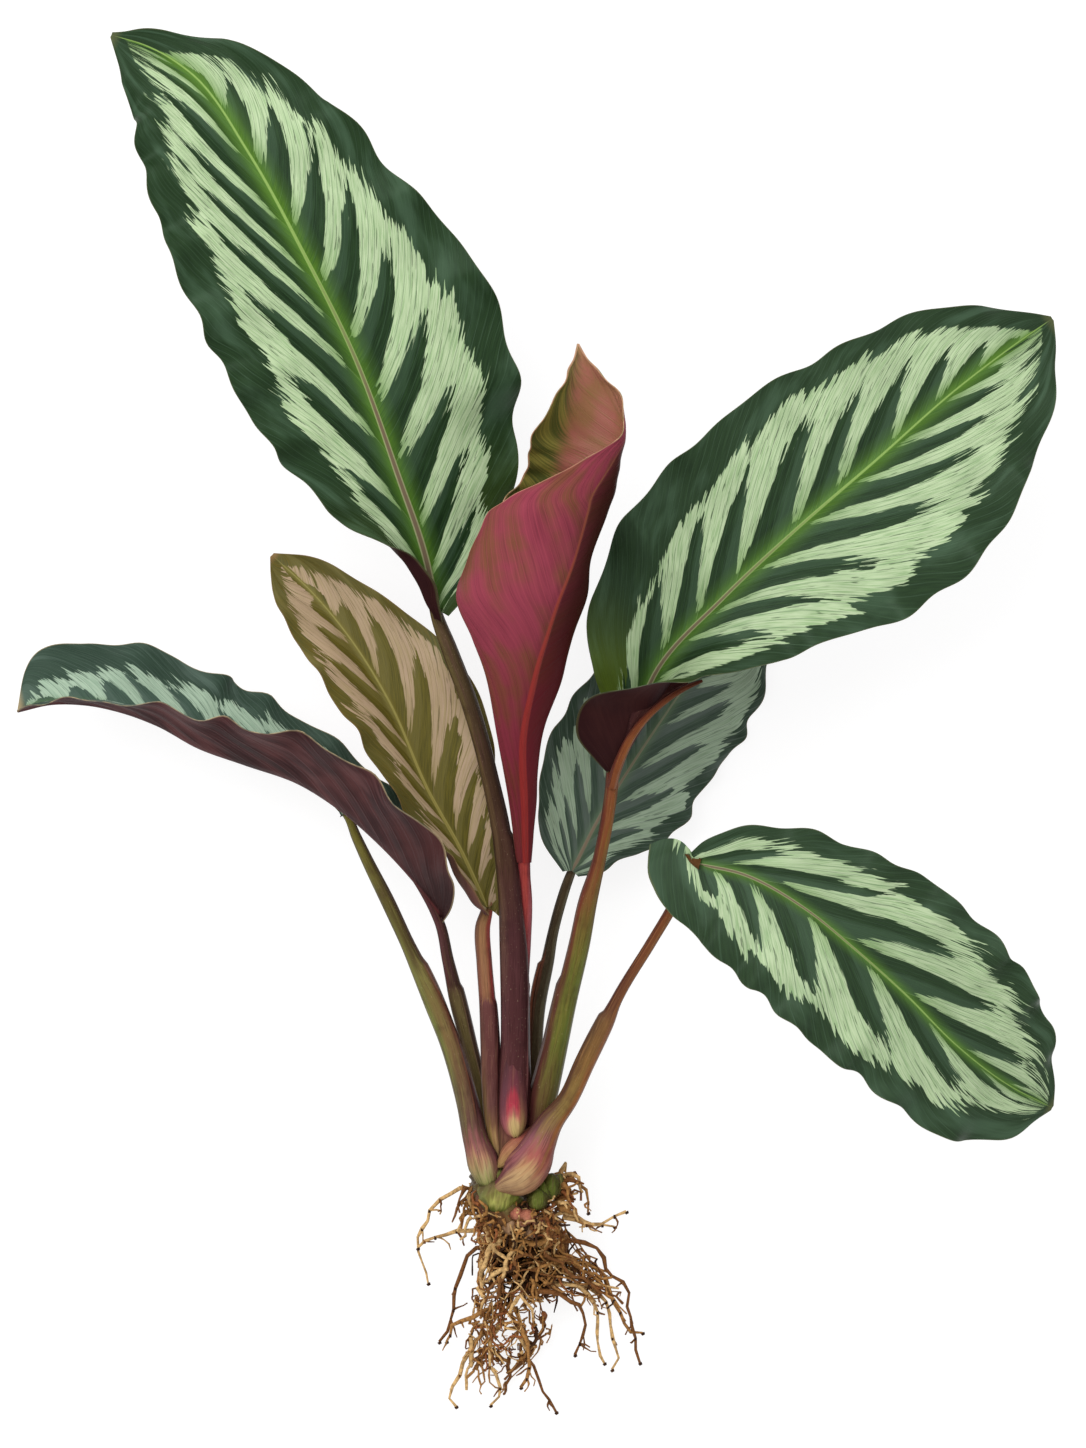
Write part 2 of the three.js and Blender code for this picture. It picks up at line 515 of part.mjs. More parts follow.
// A closed thin sheet: point(place, side) gives one face, and the other lies a thickness behind it.
// The faces are split into triangles alike. lowest keeps the sheet above the surface it lies on.
function sheet({ point, evenRows, columns, thickness, lowest = -Infinity }) {
  const step = 1e-3;
  const faces = [[], []];
  const places = Array.from({ length: evenRows + 1 }, (_, row) => row / evenRows);
  places.splice(1, 0, END_ROW / evenRows);
  places.splice(-1, 0, 1 - END_ROW / evenRows);
  const rows = places.length - 1;
  for (const place of places) {
    for (const side of columns) {
      const here = point(place, side);
      const ahead = point(Math.min(place + step, 1), side).sub(point(Math.max(place - step, 0), side));
      const beside = point(place, Math.min(side + step, 1)).sub(point(place, Math.max(side - step, -1)));
      const normal = new THREE.Vector3().crossVectors(beside, ahead).normalize();
      const back = here.clone().addScaledVector(normal, -thickness(place, side));
      here.z = Math.max(here.z, lowest + BLADE_THICKNESS);
      back.z = Math.max(back.z, lowest);
      faces[0].push(here);
      faces[1].push(back);
    }
  }
  const across = columns.length;
  const count = faces[0].length;
  const triangles = [];
  const quad = (a, b, c, d) => triangles.push(a, b, c, a, c, d);
  for (let row = 0; row < rows; row += 1) {
    for (let column = 0; column < across - 1; column += 1) {
      const a = row * across + column;
      const [b, c, d] = [a + 1, a + across + 1, a + across];
      quad(a, b, c, d);
      triangles.push(count + a, count + c, count + b, count + a, count + d, count + c);
    }
  }
  for (let row = 0; row < rows; row += 1) {
    const left = row * across;
    const right = left + across - 1;
    quad(left, left + across, count + left + across, count + left);
    quad(right + across, right, count + right, count + right + across);
  }
  for (let column = 0; column < across - 1; column += 1) {
    const top = rows * across + column;
    quad(column + 1, column, count + column, count + column + 1);
    quad(top, top + 1, count + top + 1, count + top);
  }
  return solidGeometry([...faces[0], ...faces[1]], triangles);
}

function solidGeometry(points, triangles) {
  const geometry = new THREE.BufferGeometry();
  const coordinates = points.flatMap((point) => point.toArray());
  geometry.setAttribute('position', new THREE.Float32BufferAttribute(coordinates, 3));
  geometry.setIndex(triangles);
  geometry.computeVertexNormals();
  return geometry;
}

// The midrib stands out behind the blade, most at its base
function ribbedThickness(place, side) {
  const rib = side === 0 ? THREE.MathUtils.lerp(RIB_DEPTH, RIB_DEPTH_AT_TIP, Math.sqrt(place)) : 0;
  return BLADE_THICKNESS + rib;
}

function bladeGeometry(blade) {
  return sheet({
    point: (place, side) => bladePoint(blade, place, side),
    evenRows: BLADE_ROWS,
    columns: blade.columns ?? BLADE_COLUMNS,
    thickness: ribbedThickness,
    lowest: 0,
  });
}

function rolledGeometry() {
  const ribbed = (place, side) => {
    const outward = rolledPoint(place, side);
    if (side !== 0) return outward;
    const rib = RIB_DEPTH * (1 - smoothStep(0.3, 0.7, place));
    return outward.setZ(outward.z + rib);
  };
  return sheet({
    point: ribbed,
    evenRows: ROLLED_LEAF.rows,
    columns: ROLLED_COLUMNS,
    thickness: () => BLADE_THICKNESS,
  });
}

// A closed stem with elliptical rings along stations of [[x, y, z], halfWidth, halfDepth].
// grow makes it that much larger all round.
function stem({ stations, sides, rings, grow = 0, lumps = () => 0 }) {
  const curve = curveThrough(stations.map((station) => station[0]));
  const lengths = [0];
  for (let i = 1; i < stations.length; i += 1) {
    lengths.push(lengths[i - 1] + vector(stations[i][0]).distanceTo(vector(stations[i - 1][0])));
  }
  const total = lengths[lengths.length - 1];
  const radii = stations.map((station, i) => [lengths[i] / total, [station[1], station[2]]]);
  const points = [];
  for (let ring = 0; ring <= rings; ring += 1) {
    const place = ring / rings;
    const middle = curve.getPointAt(place);
    const tangent = curve.getTangentAt(place);
    const side = new THREE.Vector3().crossVectors(tangent, new THREE.Vector3(0, 0, 1)).normalize();
    const front = new THREE.Vector3().crossVectors(side, tangent);
    if (ring === 0) middle.addScaledVector(tangent, -grow);
    if (ring === rings) middle.addScaledVector(tangent, grow);
    const [halfWidth, halfDepth] = along(radii, place);
    for (let k = 0; k < sides; k += 1) {
      const angle = 2 * Math.PI * (k + 0.5) / sides;
      const lump = lumps(ring, k);
      points.push(middle.clone()
        .addScaledVector(side, (halfWidth + grow + lump) * Math.cos(angle))
        .addScaledVector(front, (halfDepth + grow + lump) * Math.sin(angle)));
    }
  }
  const triangles = [];
  for (let ring = 0; ring < rings; ring += 1) {
    for (let k = 0; k < sides; k += 1) {
      const a = ring * sides + k;
      const b = ring * sides + (k + 1) % sides;
      triangles.push(a, a + sides, b, b, a + sides, b + sides);
    }
  }
  for (let k = 1; k < sides - 1; k += 1) {
    const top = rings * sides;
    triangles.push(0, k, k + 1, top, top + k + 1, top + k);
  }
  return solidGeometry(points, triangles);
}

function toSolid(geometry) {
  return new wasm.Manifold(new wasm.Mesh({
    numProp: 3,
    vertProperties: new Float32Array(geometry.attributes.position.array),
    triVerts: new Uint32Array(geometry.index.array),
  }));
}

// The largest body of a cut solid, as a geometry
function toGeometry(solid) {
  const bodies = solid.decompose().sort((a, b) => b.volume() - a.volume());
  const mesh = bodies[0].getMesh();
  const geometry = new THREE.BufferGeometry();
  geometry.setAttribute('position', new THREE.Float32BufferAttribute(mesh.vertProperties, 3));
  geometry.setIndex([...mesh.triVerts]);
  geometry.computeVertexNormals();
  return geometry;
}

// The petiole's stations, carried on until it lies just under the blade's midrib
function stationsToBlade({ blade, tip, stations, drop = 0 }) {
  if (blade === 'furled') return stations;
  const { origin, tangent, facing } = midribFrame(BLADES[blade], 0);
  const flatTop = tip * Math.cos(Math.PI / PETIOLE_SIDES);
  const under = BLADE_THICKNESS + RIB_DEPTH + SEAT_GAP + drop + flatTop;
  const seat = origin.clone().addScaledVector(facing, -under);
  const end = seat.clone().addScaledVector(tangent, PETIOLE_UNDER_BLADE);
  return [...stations, [seat.toArray(), tip, tip], [end.toArray(), tip * 0.8, tip * 0.8]];
}

function petioleSolid(petiole, grow = 0) {
  const stations = stationsToBlade(petiole);
  return toSolid(stem({ stations, sides: PETIOLE_SIDES, rings: PETIOLE_RINGS, grow }));
}

// Sheaths clasp each other at the crown: each is cut clear of those already seated in front of it
function seatedPetioles() {
  const inner = PETIOLES.furled;
  const seated = { furled: petioleSolid(inner) };
  const grown = [petioleSolid(inner, SEAT_GAP)];
  for (const name of SEATING_ORDER) {
    seated[name] = petioleSolid(PETIOLES[name]).subtract(wasm.Manifold.union(grown));
    grown.push(petioleSolid(PETIOLES[name], SEAT_GAP));
  }
  return { seated, clearance: wasm.Manifold.union(grown) };
}

function shootBudSolid(grow = 0) {
  return toSolid(stem({ ...SHOOT_BUD, grow }));
}

function rhizomeSolid(grow = 0) {
  const body = toSolid(stem({ ...RHIZOME, grow }));
  const buds = RHIZOME_BUDS.map(([middle, radius]) => {
    const bud = new THREE.IcosahedronGeometry(radius + grow, 1);
    bud.translate(...middle);
    return toSolid(weld(bud));
  });
  return wasm.Manifold.union([body, ...buds]);
}

function weld(geometry) {
  const points = [];
  const keys = new Map();
  const index = [];
  const position = geometry.attributes.position;
  for (let i = 0; i < position.count; i += 1) {
    const point = new THREE.Vector3().fromBufferAttribute(position, i);
    const key = point.toArray().map((value) => value.toFixed(3)).join();
    if (!keys.has(key)) {
      keys.set(key, points.length);
      points.push(point);
    }
    index.push(keys.get(key));
  }
  return solidGeometry(points, index);
}

function rootStrand({ points, radius, sides, ringsPerBend }) {
  const last = points.length - 1;
  const stations = points.map((point, i) => {
    const thickness = THREE.MathUtils.lerp(radius, ROOT_TIP_RADIUS, i / last);
    return [[point[0], point[1], Math.max(point[2], thickness + 0.1)], thickness, thickness];
  });
  return toSolid(stem({ stations, sides, rings: Math.round(last * ringsPerBend) }));
}

// Fine roots leave the clump all round, then hang down along it and spread at their ends
function fineRoot(random) {
  const { stations } = ROOT_CORE;
  const [[x, y, z], halfWidth, halfDepth] = stations[Math.floor(random() * (stations.length - 2))];
  const around = random() * 2 * Math.PI;
  const reach = THREE.MathUtils.lerp(...FINE_ROOT_REACH, random());
  const spread = THREE.MathUtils.lerp(...FINE_ROOT_SPREAD, random());
  const drift = (random() - 0.5) * 1.2;
  const points = [];
  for (let i = 0; i <= FINE_ROOT_BENDS; i += 1) {
    const far = i / FINE_ROOT_BENDS;
    const angle = around + drift * far;
    const wander = () => (random() - 0.5) * FINE_ROOT_WANDER * far;
    points.push([
      x + Math.cos(angle) * (halfWidth * (0.7 + 0.35 * far) + spread * far) + wander(),
      y - reach * far + wander(),
      z + Math.sin(angle) * (halfDepth * (0.7 + 0.2 * far) + 0.6 * spread * far) + wander() - 3 * far,
    ]);
  }
  return points;
}

function rootsSolid() {
  const random = seededRandom(ROOT_SEED);
  const core = toSolid(stem({
    ...ROOT_CORE,
    lumps: (ring, k) => (k % 2 ? CORE_FLUTES : -CORE_FLUTES) + (random() - 0.5) * CORE_FLUTES,
  }));
  const strands = LONG_ROOTS.map((points) => rootStrand({ ...LONG_ROOT, points }));
  for (let i = 0; i < FINE_ROOTS; i += 1) {
    strands.push(rootStrand({ ...FINE_ROOT, points: fineRoot(random) }));
  }
  const ground = new THREE.BoxGeometry(GROUND.width, GROUND.width, GROUND.depth);
  ground.translate(0, 0, -GROUND.depth / 2);
  return wasm.Manifold.union([core, ...strands]).subtract(toSolid(weld(ground.toNonIndexed())));
}

const plant = new THREE.Group();

function addPiece(name, geometry, colour, roughness) {
  const material = new THREE.MeshStandardMaterial({ color: COLOURS[colour], roughness, metalness: 0 });
  const mesh = new THREE.Mesh(geometry, material);
  mesh.name = name;
  plant.add(mesh);
}

for (const [name, blade] of Object.entries(BLADES)) {
  addPiece(`blade_${name}`, bladeGeometry(blade), BLADE_COLOURS[name], ROUGHNESS.blade);
}
addPiece('blade_furled', rolledGeometry(), 'pink', ROUGHNESS.blade);

const { seated, clearance } = seatedPetioles();
for (const [name, solid] of Object.entries(seated)) {
  addPiece(`petiole_${name}`, toGeometry(solid), PETIOLES[name].colour, ROUGHNESS.petiole);
}

addPiece('shoot_bud', toGeometry(shootBudSolid().subtract(clearance)), 'bud', ROUGHNESS.bud);

const rhizome = rhizomeSolid().subtract(clearance).subtract(shootBudSolid(SEAT_GAP));
addPiece('rhizome', toGeometry(rhizome), 'rhizome', ROUGHNESS.rhizome);

const roots = rootsSolid().subtract(rhizomeSolid(SEAT_GAP)).subtract(clearance);
addPiece('roots', toGeometry(roots), 'root', ROUGHNESS.root);

export default plant;
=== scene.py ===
"""Looks of a bare-root prayer plant with peacock-patterned leaves, lying as it was lifted.

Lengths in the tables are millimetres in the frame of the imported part: +Y runs from the roots up the
plant, +X to its right and +Z up from the surface. A blade's place runs from 0 at its base to 1 at its
tip, and its side from -1 at the left margin over 0 at the midrib to 1 at the right margin.
"""

import math

import bpy
import numpy as np
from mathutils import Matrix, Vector


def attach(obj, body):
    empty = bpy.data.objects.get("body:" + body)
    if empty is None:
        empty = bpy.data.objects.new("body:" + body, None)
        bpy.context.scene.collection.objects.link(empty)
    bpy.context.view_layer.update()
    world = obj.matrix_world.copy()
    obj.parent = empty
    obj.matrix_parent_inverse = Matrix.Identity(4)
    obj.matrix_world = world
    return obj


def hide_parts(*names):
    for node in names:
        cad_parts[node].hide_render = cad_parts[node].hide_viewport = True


bl_info = {
    "name": "Bare-root prayer plant",
    "version": (1, 0, 0),
    "blender": (4, 5, 0),
    "location": "View3D > Sidebar > Prayer Plant",
    "description": "Builds a lifted prayer plant: patterned blades, sheathed petioles, rhizome and roots",
    "category": "Add Mesh",
}

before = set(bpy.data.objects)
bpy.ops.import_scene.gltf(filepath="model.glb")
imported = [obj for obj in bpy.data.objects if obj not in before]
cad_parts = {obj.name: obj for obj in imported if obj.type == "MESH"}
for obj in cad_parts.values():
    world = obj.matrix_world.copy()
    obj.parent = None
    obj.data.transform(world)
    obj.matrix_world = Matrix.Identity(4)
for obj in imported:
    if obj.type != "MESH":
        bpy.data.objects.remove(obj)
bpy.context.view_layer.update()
MM = 0.001
BODY = "root"
TURN = 2 * math.pi


def like_halves(left_bands, right_bands, **shared):
    """Stripes of two half blades that differ in their bands alone."""
    return {"left": dict(bands=left_bands, **shared), "right": dict(bands=right_bands, **shared)}


def half(width, crease, waves, phase, back=0, **more):
    """Shape of a half blade, with what most of them share. See the note on BLADES."""
    return {"width": width, "crease": crease, "waves": waves, "phase": phase,
            "sweep": ((0, -back), (0.1, 0), (1, 0)), "roll": ((0, 0), (1, 0)), "roll_from": 0, "roll_by": 1,
            "lobe": 0, "shift": ((0, (0, 0)), (1, (0, 0))), **more}


def leaf_look(**look):
    """Looks of a blade's upper side, with what most of them share. See the note on BLADES."""
    return {"tip": 0.0, "lime": 0.0, "blunt": 0.0, "tone": (0.0, 0x000000), **look}


# Stripes of each half blade. place0 is where a vein leaves the midrib.
#   bands      place0 of the middle of each pale band
#   bow        1 or none for straight veins, more where they bend forward on their way out
#   lean       (place0, how far along the midrib the vein has moved on when it reaches the margin)
#   pale_from  (place0, share of the half's width where the pale bands start)
#   dark_to    (place0, share where the dark stripes between them end)
#   pale_to    (place0, share where the pale zone ends in the dark border)
STRIPES = {
    "tall_left": dict(
        left=dict(
            bands=(0.0, 0.11, 0.23, 0.34, 0.43, 0.5, 0.585, 0.68, 0.76, 0.84, 0.93),
            lean=((0, 0.3), (0.1, 0.35), (0.2, 0.42), (0.6, 0.46), (0.7, 0.65), (0.8, 0.9), (1, 1.2)),
            pale_from=((0, 0.24), (0.1, 0.18), (0.22, 0.1), (0.7, 0.08), (1, 0.03)),
            dark_to=((0, 0.5), (0.16, 0.57), (0.38, 0.6), (0.52, 0.54), (0.62, 0.46), (0.7, 0.32),
                     (0.78, 0.15), (0.9, 0.06), (1, 0.04)),
            pale_to=((0, 0.58), (0.09, 0.66), (0.2, 0.7), (0.39, 0.69), (0.5, 0.65), (0.6, 0.55),
                     (0.66, 0.42), (0.76, 0.22), (0.9, 0.08), (1, 0.05))),
        right=dict(
            bands=(-0.01, 0.05, 0.12, 0.22, 0.32, 0.41, 0.5, 0.59, 0.69, 0.79, 0.88), bow=1.25,
            lean=((0, 0.16), (0.1, 0.24), (0.2, 0.27), (0.7, 0.28), (0.8, 0.33), (0.9, 0.5), (1, 0.6)),
            pale_from=((0, 0.06), (0.7, 0.05), (1, 0.02)),
            dark_to=((0, 0.6), (0.17, 0.53), (0.27, 0.55), (0.46, 0.6), (0.55, 0.58), (0.64, 0.5),
                     (0.74, 0.34), (0.84, 0.1), (1, 0.04)),
            pale_to=((0, 0.7), (0.1, 0.75), (0.3, 0.7), (0.41, 0.74), (0.5, 0.7), (0.63, 0.62), (0.75, 0.5),
                     (0.82, 0.42), (0.9, 0.34), (1, 0.2)))),
    "olive": dict(
        left=dict(
            bands=(0.03, 0.12, 0.21, 0.31, 0.41, 0.55, 0.7, 0.85),
            lean=((0, 0.2), (0.2, 0.26), (0.4, 0.32), (0.6, 0.38), (0.75, 0.3), (0.9, 0.1), (1, 0)),
            pale_from=((0, 0.06), (1, 0.05)),
            dark_to=((0, 0.3), (0.17, 0.42), (0.26, 0.48), (0.36, 0.56), (0.48, 0.62), (0.63, 0.46),
                     (0.78, 0.22), (1, 0.1)),
            pale_to=((0, 0.4), (0.15, 0.45), (0.21, 0.55), (0.31, 0.72), (0.41, 0.77), (0.55, 0.74),
                     (0.7, 0.64), (0.85, 0.45), (1, 0.3))),
        right=dict(
            bands=(-0.02, 0.05, 0.11, 0.17, 0.28, 0.44, 0.6, 0.78, 0.9),
            lean=((0, 0.1), (0.1, 0.16), (0.17, 0.24), (0.28, 0.4), (0.6, 0.38), (0.75, 0.24), (0.9, 0.08),
                  (1, 0)),
            pale_from=((0, 0.12), (0.3, 0.1), (0.5, 0.05), (1, 0.04)),
            dark_to=((0, 0.72), (0.14, 0.74), (0.22, 0.6), (0.36, 0.6), (0.52, 0.55), (0.69, 0.35),
                     (0.85, 0.15), (1, 0.1)),
            pale_to=((0, 0.83), (0.28, 0.84), (0.44, 0.82), (0.6, 0.76), (0.78, 0.55), (1, 0.3)))),
    "drooping_left": dict(
        left=dict(
            bands=(0.02, 0.12, 0.22, 0.32, 0.42, 0.52, 0.62, 0.72, 0.82, 0.9),
            lean=((0, 0.26), (0.6, 0.3), (0.8, 0.16), (0.9, 0.08), (1, 0)), pale_from=((0, 0.1), (1, 0.06)),
            dark_to=((0, 0.55), (0.6, 0.52), (0.8, 0.3), (1, 0.1)),
            pale_to=((0, 0.7), (0.6, 0.7), (0.85, 0.55), (1, 0.3))),
        right=dict(
            bands=(-0.02, 0.08, 0.18, 0.28, 0.38, 0.49, 0.6, 0.71, 0.81, 0.9),
            lean=((0, 0.26), (0.6, 0.3), (0.8, 0.16), (0.9, 0.08), (1, 0)), pale_from=((0, 0.1), (1, 0.06)),
            dark_to=((0, 0.55), (0.6, 0.55), (0.8, 0.35), (1, 0.1)),
            pale_to=((0, 0.72), (0.45, 0.7), (0.6, 0.6), (0.85, 0.5), (1, 0.3)))),
    "hidden_left": like_halves(
        left_bands=(0.0, 0.14, 0.28, 0.42, 0.56, 0.7, 0.84),
        right_bands=(-0.04, 0.1, 0.24, 0.38, 0.52, 0.66, 0.8),
        lean=((0, 0.28), (0.6, 0.3), (0.8, 0.16), (1, 0)), pale_from=((0, 0.1), (1, 0.06)),
        dark_to=((0, 0.55), (0.6, 0.5), (1, 0.1)), pale_to=((0, 0.7), (0.6, 0.7), (1, 0.3))),
    "back_right": dict(
        left=dict(
            bands=(-0.03, 0.03, 0.12, 0.23, 0.34, 0.45, 0.57, 0.7, 0.83),
            lean=((0, 0.3), (0.15, 0.36), (0.6, 0.36), (0.8, 0.16), (1, 0)),
            pale_from=((0, 0.2), (0.2, 0.14), (1, 0.08)),
            dark_to=((0, 0.58), (0.6, 0.55), (0.8, 0.3), (1, 0.1)),
            pale_to=((0, 0.8), (0.3, 0.8), (0.7, 0.7), (1, 0.3))),
        right=dict(
            bands=(-0.03, 0.08, 0.19, 0.33, 0.5, 0.66, 0.82),
            lean=((0, 0.28), (0.2, 0.42), (0.45, 0.48), (0.65, 0.3), (0.82, 0.13), (1, 0)),
            pale_from=((0, 0.15), (0.2, 0.1), (1, 0.06)),
            dark_to=((0, 0.58), (0.25, 0.64), (0.42, 0.6), (0.6, 0.45), (0.75, 0.25), (1, 0.1)),
            pale_to=((0, 0.78), (0.2, 0.9), (0.6, 0.86), (0.82, 0.66), (1, 0.4)))),
    "broad_right": dict(
        left=dict(
            bands=(-0.02, 0.07, 0.18, 0.26, 0.35, 0.472, 0.557, 0.675, 0.766, 0.85, 0.93),
            lean=((0, 0.28), (0.2, 0.3), (0.6, 0.3), (0.75, 0.25), (0.85, 0.25), (0.93, 0.3), (1, 0.3)),
            pale_from=((0, 0.2), (0.1, 0.12), (0.2, 0.07), (0.8, 0.04), (1, 0.02)),
            dark_to=((0, 0.42), (0.12, 0.5), (0.22, 0.57), (0.3, 0.6), (0.41, 0.62), (0.51, 0.58),
                     (0.61, 0.52), (0.72, 0.42), (0.81, 0.3), (0.9, 0.12), (1, 0.05)),
            pale_to=((0, 0.4), (0.07, 0.47), (0.12, 0.54), (0.18, 0.62), (0.25, 0.7), (0.35, 0.79),
                     (0.5, 0.79), (0.6, 0.74), (0.7, 0.66), (0.8, 0.55), (0.87, 0.4), (0.93, 0.2),
                     (1, 0.06))),
        right=dict(
            bands=(0.03, 0.14, 0.22, 0.28, 0.375, 0.485, 0.58, 0.67, 0.77, 0.85, 0.93),
            lean=((0, 0.14), (0.14, 0.18), (0.2, 0.24), (0.28, 0.34), (0.4, 0.43), (0.55, 0.48), (0.68, 0.5),
                  (0.8, 0.6), (0.9, 0.8), (1, 1)),
            pale_from=((0, 0.1), (0.3, 0.08), (0.5, 0.04), (1, 0.02)),
            dark_to=((0, 0.6), (0.19, 0.66), (0.26, 0.6), (0.33, 0.56), (0.43, 0.52), (0.53, 0.48),
                     (0.62, 0.42), (0.71, 0.3), (0.8, 0.14), (0.9, 0.06), (1, 0.04)),
            pale_to=((0, 0.82), (0.15, 0.84), (0.25, 0.77), (0.35, 0.73), (0.49, 0.67), (0.63, 0.54),
                     (0.75, 0.34), (0.87, 0.14), (1, 0.05)))),
    "low_right": dict(
        left=dict(
            bands=(-0.1, 0.03, 0.14, 0.355, 0.54, 0.705, 0.84, 0.94),
            lean=((-0.1, 0.3), (0.03, 0.38), (0.15, 0.5), (0.5, 0.5), (0.62, 0.6), (0.72, 0.9), (0.85, 1.2),
                  (1, 1.4)),
            pale_from=((0, 0.2), (0.12, 0.16), (0.35, 0.1), (0.6, 0.06), (1, 0.03)),
            dark_to=((-0.05, 0.58), (0.07, 0.62), (0.24, 0.62), (0.43, 0.57), (0.62, 0.41), (0.76, 0.15),
                     (0.85, 0.08), (1, 0.04)),
            pale_to=((-0.1, 0.7), (0.05, 0.76), (0.21, 0.78), (0.34, 0.74), (0.46, 0.68), (0.53, 0.6),
                     (0.61, 0.5), (0.72, 0.26), (0.85, 0.11), (1, 0.05))),
        right=dict(
            bands=(-0.02, 0.045, 0.13, 0.28, 0.44, 0.62, 0.78, 0.9),
            lean=((0, 0.12), (0.05, 0.19), (0.15, 0.26), (0.28, 0.35), (0.45, 0.48), (0.54, 0.65),
                  (0.7, 1.1), (0.85, 1.4), (1, 1.5)),
            pale_from=((0, 0.08), (0.5, 0.04), (1, 0.02)),
            dark_to=((0, 0.4), (0.085, 0.6), (0.2, 0.6), (0.36, 0.57), (0.53, 0.4), (0.7, 0.15),
                     (0.85, 0.06), (1, 0.04)),
            pale_to=((-0.06, 0.25), (-0.02, 0.4), (0.02, 0.62), (0.06, 0.74), (0.3, 0.76), (0.41, 0.64),
                     (0.47, 0.6), (0.54, 0.47), (0.59, 0.39), (0.7, 0.22), (0.83, 0.1), (1, 0.05)))),
    "furled": like_halves(
        left_bands=(-0.03, 0.05, 0.13, 0.21, 0.29, 0.38, 0.47, 0.56, 0.66, 0.76, 0.86),
        right_bands=(-0.03, 0.05, 0.13, 0.22, 0.31, 0.4, 0.5, 0.6, 0.7, 0.8, 0.89),
        lean=((0, 0.3), (0.6, 0.34), (0.8, 0.16), (0.9, 0.08), (1, 0)), pale_from=((0, 0.08), (1, 0.06)),
        dark_to=((0, 0.6), (0.7, 0.55), (1, 0.1)), pale_to=((0, 0.75), (0.7, 0.72), (1, 0.4))),
}

FINE_GRID = (230, 96)
COARSE_GRID = (150, 64)
FACING_UP = ((0, (0, 0, 1)), (1, (0, 0, 1)))

